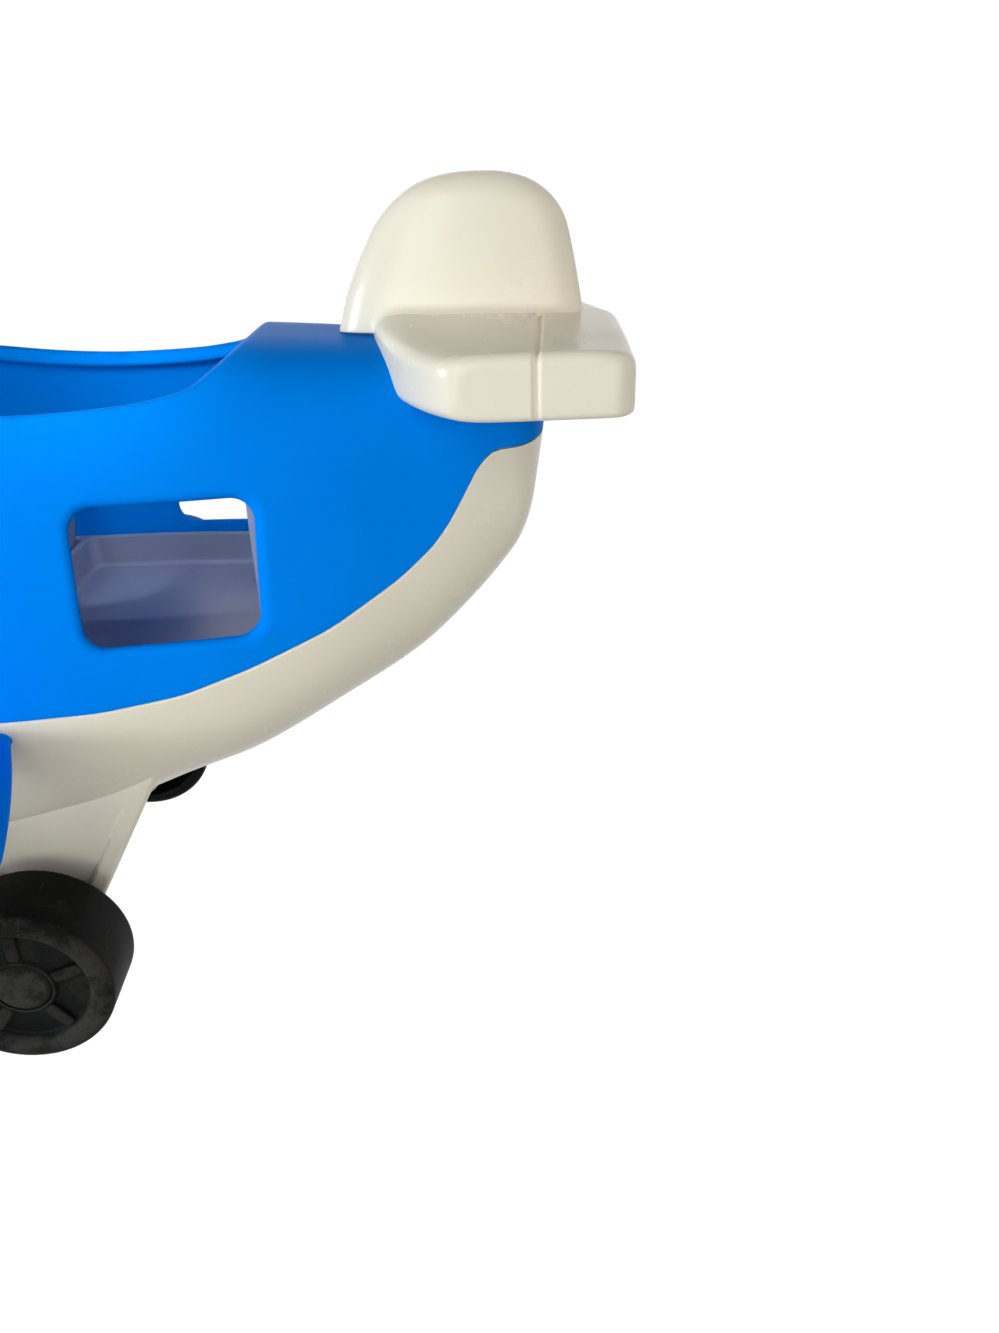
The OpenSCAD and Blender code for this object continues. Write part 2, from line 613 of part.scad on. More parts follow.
module pilot_seat() {
    color("lightsteelblue") seat(pilot_x, pilot_seat_w, [0], [seat_pegs()[0], seat_pegs()[1]]);
}
module passenger_bench() {
    color("lightsteelblue") seat(bench_x, bench_w, [-bench_w / 4, bench_w / 4], [seat_pegs()[2], seat_pegs()[3]]);
}
// A sloping instrument panel with plain round dials and a control column
module dashboard() {
    x = floor_to - 3;
    w = 68;
    h = 26;
    top = floor_z + h;
    tilt = atan2(6, h);
    color("slategray") difference() {
        union() {
            translate([0, w / 2, 0]) rotate([90, 0, 0]) linear_extrude(w)
                polygon([[x, floor_z], [x, top], [x - 5, top], [x - 11, floor_z]]);
            translate([x - 9, 0, floor_z + h / 2 - 3]) rotate([0, -90 - tilt, 0]) {
                rod(2, 0, 7);
                translate([0, 0, 7]) rotate_extrude($fn = round_fn) translate([5.5, 0]) circle(1.4, $fn = 24);
                translate([0, 0, 7]) for (a = [0, 120, 240]) rotate([0, 0, a])
                    translate([0, -0.9, -0.8]) cube([5.4, 1.8, 1.6]);
            }
        }
        for (y = [-22, 22]) translate([x - 8, y, floor_z + h / 2 + 1]) rotate([0, -90 - tilt, 0]) rod(5, -0.5, 6);
        for (y = [-11, 11]) translate([x - 7.4, y, floor_z + h / 2 + 6]) rotate([0, -90 - tilt, 0]) rod(3.4, -0.5, 6);
    }
}

// Tailplane sections: across the fuselage, thick in the middle and rounded at the tips
function tail_thick(y) = tail_t + tail_rise * pow(1 - min(1, abs(y) / tail_span * 2), 1.5);
function tail_le(y) = -tail_front - 0.1 * abs(y)
    - 15 * (1 - sqrt(1 - pow(max(0, 1 - (tail_span / 2 - abs(y)) / 45), 2)));
function tail_te(y) = -tail_back + 0.09 * abs(y) + fillet(tail_span / 2 - abs(y), 5);
tail_power = 5;
tail_rear_power = 14;
// Angle of a section's top at a place along the fuselage
function top_angle(x, le, te) = acos(signed_pow((x - (le + te) / 2) * 2 / (le - te), tail_power / 2));
// Angles of a section. Three of those on the top are the groove's edges and its bottom.
function tail_angles(y, le, te) = let (g = -tail_back + elevator_l - elevator_sweep * (1 - abs(y) / tail_span * 2),
        cut = [for (d = [1, 0, -1]) top_angle(g + 0.9 * d, le, te)])
    concat([for (i = [0:7]) cut[0] * i / 8], cut, [for (i = [1:6]) cut[2] + (180 - cut[2]) * i / 6],
        [for (i = [1:14]) 180 + 12 * i]);
function tailplane_ring(y) = let (
        le = tail_le(y), te = tail_te(y), t = tail_thick(y), d = tail_span / 2 - abs(y), angles = tail_angles(y, le, te))
    [for (i = [0:len(angles) - 1]) let (a = angles[i], p = 2 / (a > 180 && a < 270 ? tail_rear_power : tail_power),
            hz = t / 2 - fillet(d, a > 180 ? 1.4 : 2.6), s = signed_pow(cos(a), p))
        [(le + te) / 2 + (le - te) / 2 * s, y,
         tail_z + t / 2 + hz * signed_pow(sin(a), p) - (i == 9 ? groove : 0) - (a < 180 ? tail_fall(y, s) : 0)]];
// How far the top lies lower behind the fin, at a share of the half chord
function tail_fall(y, s) = let (r = max(0, min(1, 0.2 - s)))
    tail_drop * pow(max(0, 1 - abs(y) / tail_span * 3.4), 1.3) * r * r * (3 - 2 * r);
// Where the tailplane's front surface lies at a place across and a height
function tail_nose(y, z) = let (le = tail_le(y), te = tail_te(y), t = tail_thick(y),
        s = max(0, min(1, (tail_z + t / 2 - z) / (t / 2))))
    (le + te) / 2 + (le - te) / 2 * pow(1 - pow(s, tail_power), 1 / tail_power);
// The fin's top is arched: half its length is limited to sqrt(110 d) at a depth d.
// The fin's edges: share of its height, distance aft of the tailplane's front edge
FIN_FRONT = [[0, -8.8], [0.3, -5.6], [0.62, -0.3], [0.8, 2.5], [1, 5]];
FIN_BACK = [[0, 53.3], [0.5, 50.4], [1, 47.1]];
fin_mid = -tail_front - (FIN_FRONT[0][1] + FIN_BACK[0][1]) / 2;
fin_l = FIN_BACK[0][1] - FIN_FRONT[0][1];
fin_foot = high(-tail_front - FIN_FRONT[0][1]) + 0.15;
function fin_ring(z, m = 24) = let (
        s = (z - fin_foot) / (fin_top - fin_foot), d = fin_top - z, p = 2 / 2.3,
        flare = fillet(z - tail_top + 0.6, 1.6),
        le = -tail_front - curve(FIN_FRONT, s, 1) - fillet(d, 13),
        te = -tail_front - curve(FIN_BACK, s, 1) + fillet(d, 12),
        ht = (fin_t - 3 * s) / 2 - fillet(d, 6.5),
        hl = pow(pow((le - te) / 2, -4) + pow(110 * (d + 0.12), -2), -1 / 4))
    [for (j = [0:m - 1]) let (a = 360 * j / m)
        [(le + te) / 2 + hl * signed_pow(cos(a), p), (ht + flare) * signed_pow(sin(a), p), z]];
module tail_unit() {
    tips = [0, 0.2, 0.8, 1.7, 2.8, 5, 8.5, 12, 16];
    half = tail_span / 2;
    ys = concat([for (d = tips) -half + d], [-30, -20, -10, 0, 10, 20, 30],
        [for (i = [len(tips) - 1:-1:0]) half - tips[i]]);
    zs = concat([for (d = [0, 5.8, 6.2, 6.9, 7.9, 12, 17]) fin_foot + d],
        [for (d = [11, 8, 5.6, 3.6, 2, 0.8, 0.2, 0]) fin_top - d]);
    color("white") difference() {
        union() {
            loft([for (y = ys) tailplane_ring(y)]);
            loft([for (z = zs) fin_ring(z)], true);
        }
        difference() {
            translate([0, 0, tail_z - 1]) linear_extrude(tail_t - wall + 1) polygon(tail_pocket(0));
            for (x = TAIL_SCREWS) translate([x, 0, 0]) rod(post_r, cover_z + plate_t, tail_top + fin_h / 4);
        }
        translate([fin_mid, 0, tail_z]) linear_extrude(fin_top - tail_z - fin_h * 0.3)
            square([fin_l * 0.5, fin_t - 2 * wall - 4], center = true);
        translate([0, 0, tail_z - 1]) linear_extrude(deck_z - tail_z + 1.05)
            polygon(plan(0.6 - tail_end, 8 - tail_front, tail_z, -slip));
        for (x = TAIL_SCREWS) translate([x, 0, 0]) rod(screw_r, tail_z, cover_z + shank_in);
    }
}
function tail_pocket(gap) = let (half = tail_span / 2 - 5 - gap, a = -tail_front - 8 - gap, b = -tail_back + 7 + gap)
    [[a, 18], [a - 6, half - 11], [a - 11.5, half], [b + 6, half], [b, half - 6],
     [b, 6 - half], [b + 6, -half], [a - 11.5, -half], [a - 6, 11 - half], [a, -18]];
module tailplane_cover() {
    color("white") difference() {
        translate([0, 0, cover_z]) linear_extrude(plate_t) polygon(tail_pocket(slip));
        for (x = TAIL_SCREWS) translate([x, 0, 0]) rod(screw_r + screw_gap, tail_z - 2, tail_z + 8);
    }
}

// Wing sections along the span. The root section hugs the fuselage's side.
WING_CROWD = [0, 0.04, 0.2, 0.4, 0.6, 0.7, 0.78, 0.85, 0.905, 0.945, 0.972, 0.99, 1];
function wing_ring(s, m = 26) = let (
        root = body_w / 2 + 1, y = root + (wing_span / 2 - root) * s, d = (wing_span / 2 - root) * (1 - s),
        te_root = wing_back - 3.3,
        te = te_root - wing_sweep * (1.34 * s - 0.34 * s * s) + fillet(d, 18),
        le = wing_front + (te_root - wing_sweep + tip_chord - wing_front) * s - fillet(d, 18),
        ht = (wing_t + (wing_tip_t - wing_t) * s) / 2 - fillet(d, 3), p = 2 / 2.3)
    [for (j = [0:m - 1]) let (a = 360 * j / m, x = (le + te) / 2 + (le - te) / 2 * signed_pow(cos(a), p),
            z = wing_z + wing_rise * s + ht * signed_pow(sin(a), p))
        [x, s == 0 ? side_at(x, z) + slip : y, z]];
module wing_left() {
    color("dodgerblue") difference() {
        union() {
            loft([for (s = WING_CROWD) wing_ring(s)]);
            translate([wing_mid() - wing_tongue_l / 2, half_w(0) - tongue_reach, tongue_z])
                cube([wing_tongue_l, tongue_reach + 8, tongue_t]);
        }
        for (p = WING_SCREWS) translate([p[0], p[1], 0]) rod(screw_r, tongue_z - 1, tongue_z + tongue_t + 1);
        translate([engine_front - engine_l + 4 - slip, engine_y - pylon_w / 2 - slip, pylon_top - 20])
            cube([pylon_l + 2 * slip, pylon_w + 2 * slip, 20 + slip]);
    }
}
module wing_right() {
    mirror([0, 1, 0]) wing_left();
}

// Turns a profile of [distance forward, radius] about the engine's axis
module about_engine(points) {
    translate([0, engine_y, engine_z]) rotate([0, 90, 0]) rotate_extrude($fn = round_fn)
        polygon([for (p = points) [p[1], p[0]]]);
}
module nacelle_left() {
    f = engine_front;
    b = engine_front - engine_l;
    r = engine_r;
    web = f - 20;
    color("white") {
        about_engine([[web, 0], [web, nacelle_r], [f - 3, nacelle_r], [f - 1, nacelle_r + 0.3], [f, nacelle_r + 1],
            [f - 0.3, r - 0.6], [f - 2, r - 0.1], [f - 12, r], [f - 26, r], [b + 16, r - 0.7], [b + 5, r - 2.4],
            [b, r - 3.6], [b, r - 5.4], [b + 10, nacelle_r - 1.6], [web - 2, nacelle_r - 1.6], [web - 2, 0]]);
        translate([b + 4, engine_y - pylon_w / 2, engine_z + r - 3])
            cube([pylon_l, pylon_w, pylon_top - engine_z - r + 3]);
    }
}
module nacelle_right() {
    mirror([0, 1, 0]) nacelle_left();
}
// A moulded fan: spinner, twisted-looking blades and a rim that presses into the casing
module intake_fan_left() {
    web = engine_front - 20;
    ring_r = nacelle_r - 0.1;
    color("dimgray") {
        about_engine([[web, 0], [web, ring_r], [web + 6, ring_r], [web + 6, ring_r - 1.4], [web + 2, ring_r - 1.4],
            [web + 2, 4.5], [web + 5.5, 4.4], [web + 8.5, 3.2], [web + 10, 1.4], [web + 10.4, 0]]);
        translate([web + 2, engine_y, engine_z]) rotate([0, 90, 0]) for (i = [0:blades - 1])
            rotate([0, 0, 360 * i / blades]) translate([3.8, -0.5, -0.5]) rotate([24, 0, 0])
                cube([ring_r - 4.6, 1.1, 4]);
    }
}
module intake_fan_right() {
    mirror([0, 1, 0]) intake_fan_left();
}
module exhaust_cone_left() {
    b = engine_front - engine_l;
    web = engine_front - 22;
    r = nacelle_r - 1.7;
    color("dimgray") about_engine([[web, 0], [web, r], [web - 3, r], [web - 3, 8.5], [b + 12, 8.2], [b + 3, 6.6],
        [b - 5, 3.4], [b - 8, 1.2], [b - 8.4, 0]]);
}
module exhaust_cone_right() {
    mirror([0, 1, 0]) exhaust_cone_left();
}

// Turns a profile of [distance outward, radius] about an axle
module about_axle(x, z, points) {
    translate([x, 0, z]) rotate([-90, 0, 0]) rotate_extrude($fn = 96) polygon([for (p = points) [p[1], p[0]]]);
}
// Rounded corner of a profile: centre, radius, and the angles from the outward direction
function corner(c, r, a0, a1, n = 5) = [for (i = [0:n]) let (a = a0 + (a1 - a0) * i / n) c + r * [cos(a), sin(a)]];
module main_wheel_left() {
    y0 = wheel_y;
    y1 = wheel_y + wheel_w;
    face = y1 - wheel_recess;
    color([0.12, 0.12, 0.13]) {
        about_axle(axle_x, wheel_r, concat([[y0, axle_r], [y0, 7], [y0 + 13, 7.5], [y0 + 13, wheel_r - 4.5],
            [y0, wheel_r - 4]], corner([y0 + 2.5, wheel_r - 2.5], 2.5, 180, 90),
            corner([y1 - 3, wheel_r - 3], 3, 90, 0), [[y1, wheel_r - 4.6], [y1 - 0.8, wheel_r - 5.6],
            [face, wheel_r - 6.6], [face, cap_r + 1.6], [face + 1.2, cap_r + 0.9], [face + 1.2, cap_r + slip],
            [face - cap_t, cap_r + slip], [face - cap_t, axle_r]]));
        translate([axle_x, face - 0.5, wheel_r]) rotate([-90, 0, 0]) for (i = [0:4]) rotate([0, 0, 72 * i + 18])
            translate([cap_r + 1.2, -1.6, 0]) cube([wheel_r - cap_r - 8, 3.2, 1.6]);
    }
}
module main_wheel_right() {
    mirror([0, 1, 0]) main_wheel_left();
}
module hub_cap_left() {
    face = wheel_y + wheel_w - wheel_recess;
    color([0.12, 0.12, 0.13]) about_axle(axle_x, wheel_r, [[face - cap_t, 0], [face - cap_t, cap_r],
        [face + 0.8, cap_r], [face + 1.6, cap_r - 1], [face + 2, cap_r - 3], [face + 2.2, 0]]);
}
module hub_cap_right() {
    mirror([0, 1, 0]) hub_cap_left();
}
module main_axle() {
    l = wheel_y + wheel_w - wheel_recess - cap_t;
    color("silver") translate([axle_x, 0, wheel_r]) rotate([90, 0, 0]) rod(axle_r, -l, l);
}
module nose_wheel() {
    h = nose_w / 2;
    bore = axle_r + axle_fit;
    color([0.12, 0.12, 0.13]) about_axle(nose_axle_x, nose_r, concat(
        [[-h, bore], [-h, 5], [-h + 2, 6], [-h + 2, nose_r - 5], [-h, nose_r - 4]],
        corner([2.5 - h, nose_r - 2.5], 2.5, 180, 90), corner([h - 2.5, nose_r - 2.5], 2.5, 90, 0),
        [[h, nose_r - 4], [h - 2, nose_r - 5], [h - 2, 6], [h, 5], [h, bore]]));
}
module nose_axle() {
    l = nose_w / 2 + 0.8 + fork_t;
    color("silver") translate([nose_axle_x, 0, nose_r]) rotate([90, 0, 0]) rod(axle_r, -l, l);
}
module case_screws() {
    color("silver") both_sides() for (p = [CASE_AFT, CASE_FORE])
        screw(p[0], p[1], case_head_z(p), seam(p[0]) - case_head_z(p) + shank_in);
}
module wing_screws() {
    color("silver") both_sides() for (p = WING_SCREWS) screw(p[0], p[1], tongue_z - 10, 10 + tongue_t);
}
module tail_screws() {
    color("silver") for (x = TAIL_SCREWS)
        screw(x, 0, deck_z - wall, cover_z + shank_in - deck_z + wall - 1);
}

upper_shell();
belly_shell();
nose_cap();
cabin_floor();
pilot_seat();
passenger_bench();
dashboard();
tail_unit();
tailplane_cover();
wing_left();
wing_right();
nacelle_left();
nacelle_right();
intake_fan_left();
intake_fan_right();
exhaust_cone_left();
exhaust_cone_right();
main_wheel_left();
main_wheel_right();
hub_cap_left();
hub_cap_right();
main_axle();
nose_wheel();
nose_axle();
case_screws();
wing_screws();
tail_screws();
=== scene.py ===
import math, json
import numpy as np
import bpy
import bmesh
from mathutils import Matrix, Vector


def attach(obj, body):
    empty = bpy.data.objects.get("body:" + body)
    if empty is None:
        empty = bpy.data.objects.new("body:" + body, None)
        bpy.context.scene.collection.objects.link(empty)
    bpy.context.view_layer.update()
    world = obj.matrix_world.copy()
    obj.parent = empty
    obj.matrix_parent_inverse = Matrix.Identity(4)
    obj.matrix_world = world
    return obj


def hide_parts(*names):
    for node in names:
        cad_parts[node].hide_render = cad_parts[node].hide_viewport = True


# toy jet plane seen from behind: moulded two-part fuselage, tail unit, wheels and an open cabin
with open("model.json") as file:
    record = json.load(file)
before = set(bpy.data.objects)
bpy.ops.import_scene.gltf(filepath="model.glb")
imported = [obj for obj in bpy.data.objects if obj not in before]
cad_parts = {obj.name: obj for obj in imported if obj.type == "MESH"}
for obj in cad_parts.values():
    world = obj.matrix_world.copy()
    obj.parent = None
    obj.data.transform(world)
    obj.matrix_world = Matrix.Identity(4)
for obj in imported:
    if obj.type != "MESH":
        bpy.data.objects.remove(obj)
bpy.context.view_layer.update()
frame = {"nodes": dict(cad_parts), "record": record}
nodes = frame["nodes"]
mm = 0.001          # every shape below is worked out in millimetres


class Sock:
    # wraps a node socket, so that shader maths reads as plain sums
    def __init__(self, tree, socket):
        self.tree, self.socket = tree, socket

    def combine(self, operation, other, swap=False):
        # one maths node over this socket and another socket or number, in turned order with swap
        node = self.tree.nodes.new("ShaderNodeMath")
        node.operation = operation
        for slot, value in zip((1, 0) if swap else (0, 1), (self, other)):
            if isinstance(value, Sock):
                self.tree.links.new(value.socket, node.inputs[slot])
            elif value is not None:
                node.inputs[slot].default_value = value
        return Sock(self.tree, node.outputs[0])

    def __add__(self, other): return self.combine("ADD", other)
    def __radd__(self, other): return self.combine("ADD", other, True)
    def __sub__(self, other): return self.combine("SUBTRACT", other)
    def __rsub__(self, other): return self.combine("SUBTRACT", other, True)
    def __mul__(self, other): return self.combine("MULTIPLY", other)
    def __rmul__(self, other): return self.combine("MULTIPLY", other, True)
    def __pow__(self, other): return self.combine("POWER", other)
    def most(self, other): return self.combine("MAXIMUM", other)


class Nodes:
    # a node tree of a material or of the world
    def __init__(self, tree):
        self.tree = tree

    def node(self, kind, settings=None, inputs=None):
        # any node by its type, with its settings and with a socket or a value for each named input
        made = self.tree.nodes.new(kind)
        for key, value in (settings or {}).items():
            setattr(made, key, value)
        for key, value in (inputs or {}).items():
            if isinstance(value, Sock):
                self.tree.links.new(value.socket, made.inputs[key])
            elif isinstance(value, bpy.types.NodeSocket):
                self.tree.links.new(value, made.inputs[key])
            else:
                made.inputs[key].default_value = value
        return made

    def read(self, kind, output, settings=None, inputs=None):
        # one output of such a node, ready for sums
        return Sock(self.tree, self.node(kind, settings, inputs).outputs[output])


class Finish(Nodes):
    # one material's node tree with its Principled shader
    def __init__(self, name):
        self.material = bpy.data.materials.new(name)
        self.material.use_nodes = True
        super().__init__(self.material.node_tree)
        self.shader = self.tree.nodes["Principled BSDF"]
        self.place = self.node("ShaderNodeTexCoord").outputs["Object"]

    def noise(self, scale, detail=2.0, rough=0.5, stretch=None, turn=(0, 0, 0), shift=0.0):
        # cloudy noise over the object's own metres, stretched, turned and shifted on request
        place = self.place
        if stretch or shift:
            mapping = self.node("ShaderNodeMapping", None, {"Vector": place, "Scale": stretch or (1, 1, 1),
                                                            "Rotation": turn, "Location": (shift, shift, shift)})
            place = mapping.outputs[0]
        return self.read("ShaderNodeTexNoise", "Fac", None, {"Vector": place, "Scale": scale, "Detail": detail,
                                                             "Roughness": rough})

    def band(self, value, low, high):
        # 0 below low, 1 above high, smooth between
        return self.read("ShaderNodeMapRange", 0, {"interpolation_type": "SMOOTHSTEP"},
                         {"Value": value, "From Min": low, "From Max": high})

    def blendColour(self, factor, first, second):
        # first at factor 0, second at factor 1
        return self.read("ShaderNodeMix", 2, {"data_type": "RGBA"}, {0: factor, 6: first, 7: second})

    def feed(self, name, value):
        # a socket or a value into one input of the shader
        if isinstance(value, Sock):
            self.tree.links.new(value.socket, self.shader.inputs[name])
        else:
            self.shader.inputs[name].default_value = value

    def bump(self, height, strength, distance):
        # tilts the shading by the slope of a height; distance in metres
        made = self.node("ShaderNodeBump", None, {"Height": height, "Strength": strength, "Distance": distance})
        self.tree.links.new(made.outputs[0], self.shader.inputs["Normal"])


def fromScreen(red, green, blue):
    # a colour read as 0..255 on a screen, turned into the renderer's linear light
    part = np.array([red, green, blue]) / 255
    linear = np.where(part <= 0.04045, part / 12.92, ((part + 0.055) / 1.055) ** 2.4)
    return (*map(float, linear), 1.0)


# what every plastic has unless its own row below says otherwise: noise scales per metre, scuffs, scratches, relief
usualPlastic = {"driftScale": 14, "scuffScale": 32, "scuffFrom": 0.60, "scuffTo": 0.74, "scuffRough": 0.12,
                "driftRough": 0.08, "scratchRough": 0.08, "scratchFrom": 0.69, "scratchTo": 0.73,
                "peel": 0.5, "grain": 0.1, "nick": 0.15, "swell": 0.6, "bump": 0.08, "bumpDepth": 0.0004}


def mouldedPlastic(name, ownLook):
    # smooth moulding: slow drift of tone, faint orange peel, a few hair scratches, dull scuffed patches
    look = {**usualPlastic, **ownLook}
    f = Finish(name)
    base = fromScreen(*look["colour"])
    drift = f.noise(look["driftScale"], 3, 0.55)
    cloud = f.noise(55, 4, 0.6, shift=3.1)
    scuff = f.band(f.noise(look["scuffScale"], 6, 0.72, shift=7.7), look["scuffFrom"], look["scuffTo"])
    if "ring" in look:
        # lighter ring, in patches, where the tread turns over into the outer face: a band of distances from the middle
        # plane
        out = f.read("ShaderNodeSeparateXYZ", "Y", None, {"Vector": f.place}).combine("ABSOLUTE", None)
        patches = f.band(f.noise(95, 5, 0.7, shift=1.9), 0.36, 0.56)
        scuff = scuff.most(f.band(out, *look["ring"]) * patches * look["ringShare"])
    # scratches: the crests of two noises drawn out lengthways in different directions
    thin = look["scratchFrom"], look["scratchTo"]
    lengthways = f.band(f.noise(1.0, 2, 0.5, (55, 900, 420), (0.3, 0.2, 0.9)), *thin)
    crossways = f.band(f.noise(1.0, 2, 0.5, (800, 60, 380), (0.5, -0.4, 0.2), 4.0), *thin)
    scratches = lengthways.most(crossways)
    tone = f.blendColour(f.band(drift, 0.32, 0.68), fromScreen(*look["low"]), fromScreen(*look["high"]))
    tone = f.blendColour(f.band(cloud, 0.35, 0.7) * 0.35, tone, base)
    tone = f.blendColour(scuff * look["scuff"], tone, fromScreen(*look["scuffColour"]))
    tone = f.blendColour(scratches * look["scratch"], tone, fromScreen(*look["scuffColour"]))
    f.feed("Base Color", tone)
    f.feed("Roughness", look["rough"] + drift * look["driftRough"] + scuff * look["scuffRough"]
           + scratches * look["scratchRough"])
    f.feed("Specular IOR Level", look["shine"])
    peel = f.noise(420, 2, 0.5)
    grainy = f.noise(2600, 2, 0.5, shift=1.3)
    f.bump(peel * look["peel"] + grainy * look["grain"] - scratches * look["nick"] + cloud * look["swell"],
           look["bump"], look["bumpDepth"])
    return f.material


# colours as they read on a screen: the plain one and the two that its tone drifts between
plastics = {
    "blue": {"colour": (0, 138, 252), "low": (0, 135, 248), "high": (0, 141, 255), "rough": 0.32, "shine": 0.003,
             "scuff": 0.03, "scratch": 0.03, "scuffColour": (60, 160, 255)},
    "white": {"colour": (243, 236, 217), "low": (240, 232, 212), "high": (246, 240, 222), "rough": 0.22, "shine": 0.3,
              "scuff": 0.05, "scratch": 0.05, "scuffColour": (205, 195, 172), "driftScale": 11},
    # cabin: grey with a violet cast, which paints the shade and the blue reflected light inside the shell over the
    # tray's pale plastic
    "cabin": {"colour": (140, 151, 182), "low": (134, 145, 175), "high": (146, 157, 189), "rough": 0.4, "shine": 0.3,
              "scuff": 0.12, "scratch": 0.06, "scuffColour": (160, 164, 190)},
    # seat: the same grey with a violet cast, painted shade and painted blue reflection over the seats' pale plastic
    "seat": {"colour": (146, 152, 182), "low": (140, 146, 176), "high": (152, 158, 188), "rough": 0.45, "shine": 0.3,
             "scuff": 0.12, "scratch": 0.06, "scuffColour": (168, 170, 194)},
    "dark": {"colour": (62, 66, 74), "low": (56, 60, 68), "high": (68, 72, 80), "rough": 0.42, "shine": 0.3,
             "scuff": 0.15, "scratch": 0.1, "scuffColour": (112, 116, 122)},
    "wheel": {"colour": (5, 6, 6), "low": (3, 4, 4), "high": (8, 9, 9), "rough": 0.5, "shine": 0.07, "scuff": 0.3,
              "scratch": 0.2, "scuffColour": (64, 63, 60), "scuffScale": 70, "scuffFrom": 0.52, "scuffTo": 0.7,
              "grain": 0.6, "bump": 0.3, "scuffRough": 0.2, "ring": (0.0660, 0.0675), "ringShare": 2.5},
}
finishes = {name: mouldedPlastic("plastic_" + name, look) for name, look in plastics.items()}


def drawnSteel():
    # bare rod: grey with fine lines along its length and a few brown spots
    f = Finish("drawn_steel")
    lines = f.noise(1.0, 3, 0.6, (900, 40, 900))
    spots = f.band(f.noise(260, 4, 0.7, shift=2.2), 0.6, 0.72)
    tone = f.blendColour(lines, (0.42, 0.42, 0.43, 1), (0.62, 0.62, 0.62, 1))
    f.feed("Base Color", f.blendColour(spots * 0.5, tone, (0.16, 0.12, 0.09, 1)))
    f.feed("Metallic", 1.0)
    f.feed("Roughness", 0.28 + lines * 0.15 + spots * 0.25)
    f.bump(lines, 0.15, 0.0002)
    return f.material


finishes["steel"] = drawnSteel()
print("finishes made")


def gridFaces(rows, columns, first=0, loopColumns=False):
    # quads over a grid of points stored row by row
    i, j = np.meshgrid(np.arange(rows - 1), np.arange(columns if loopColumns else columns - 1), indexing="ij")
    k = (j + 1) % columns
    a, b, c, d = i * columns + j, i * columns + k, (i + 1) * columns + k, (i + 1) * columns + j
    return first + np.stack([a, b, c, d], -1).reshape(-1, 4)


def outwards(points, groups):
    # signed volume of the fan over all faces: below zero the faces are turned round
    volume = 0.0
    for faces in groups:
        for k in range(1, faces.shape[1] - 1):
            a, b, c = points[faces[:, 0]], points[faces[:, k]], points[faces[:, k + 1]]
            volume += float(np.einsum("ij,ij->i", a, np.cross(b, c)).sum())
    return groups if volume > 0 else [faces[:, ::-1] for faces in groups]


def addPiece(name, points, groups, finish, body, slot, replaces=(), sharp=38):
    # a shape in millimetres as a smooth-shaded mesh, creased where faces meet at more than sharp degrees;
    # points that coincide are joined, the piece hangs under its body's empty, and the nodes it replaces are hidden.
    # slot is not used.
    groups = outwards(points, [np.asarray(g, np.int64) for g in groups if len(g)])
    mesh = bpy.data.meshes.new(name)
    loopVerts = np.concatenate([g.ravel() for g in groups])
    sizes = np.concatenate([np.full(len(g), g.shape[1]) for g in groups])
    starts = np.concatenate([[0], np.cumsum(sizes)[:-1]])
    mesh.vertices.add(len(points))
    mesh.vertices.foreach_set("co", (points * mm).astype(np.float32).ravel())
    mesh.loops.add(len(loopVerts))
    mesh.loops.foreach_set("vertex_index", loopVerts.astype(np.int32))
    mesh.polygons.add(len(sizes))
    mesh.polygons.foreach_set("loop_start", starts.astype(np.int32))
    mesh.update(calc_edges=True)
    mesh.validate()
    bm = bmesh.new()
    bm.from_mesh(mesh)
    bmesh.ops.remove_doubles(bm, verts=bm.verts, dist=4e-6)
    bmesh.ops.dissolve_degenerate(bm, dist=1e-6, edges=bm.edges)
    bm.to_mesh(mesh)
    bm.free()
    mesh.polygons.foreach_set("use_smooth", np.ones(len(mesh.polygons), bool))
    mesh.set_sharp_from_angle(angle=math.radians(sharp))
    piece = bpy.data.objects.new(name, mesh)
    bpy.context.scene.collection.objects.link(piece)
    mesh.materials.append(finishes[finish])
    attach(piece, body)
    if replaces:
        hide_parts(*replaces)
    return piece


def joinShapes(shapes):
    # several (points, groups) shapes as one, their face numbers shifted
    points, groups, first = [], [], 0
    for shapePoints, shapeGroups in shapes:
        points.append(shapePoints)
        groups += [np.asarray(g) + first for g in outwards(shapePoints, [np.asarray(g) for g in shapeGroups if len(g)])]
        first += len(shapePoints)
    return np.concatenate(points), groups


def loftShape(rings):
    # rings: array (rows, columns, 3) of closed loops; the first and last rings are closed to their middles
    rows, columns = rings.shape[:2]
    points = rings.reshape(-1, 3)
    ends = np.array([rings[0].mean(0), rings[-1].mean(0)])
    j = np.arange(columns)
    k = (j + 1) % columns
    first = np.stack([k, j, np.full(columns, rows * columns)], -1)
    last = np.stack([j + (rows - 1) * columns, k + (rows - 1) * columns, np.full(columns, rows * columns + 1)], -1)
    return np.concatenate([points, ends]), [gridFaces(rows, columns, 0, True), first, last]


def mirrored(shape):
    # the same shape on the starboard side: (x, y, z) to (x, -y, z)
    points, groups = shape
    return points * np.array([1, -1, 1]), groups


# port is left and is built first; starboard is its mirror image
bothSides = (("left", lambda shape: shape), ("right", mirrored))


def turnedShape(profile, centre, direction, segments=96):
    # a profile of (distance along, radius) turned about a line through centre; closed at both ends of the profile
    profile = np.asarray(profile, float)
    d = np.asarray(direction, float)
    side = np.array([0.0, 0.0, 1.0]) if abs(d[2]) < 0.9 else np.array([1.0, 0.0, 0.0])
    side = side - d * side.dot(d)
    side /= np.linalg.norm(side)
    other = np.cross(d, side)
    t = np.linspace(0, 2 * np.pi, segments, endpoint=False)
    spoke = np.cos(t)[None, :, None] * side + np.sin(t)[None, :, None] * other
    rings = np.asarray(centre, float) + profile[:, 0, None, None] * d + profile[:, 1, None, None] * spoke
    return rings.reshape(-1, 3), [gridFaces(len(profile), segments, 0, True)]


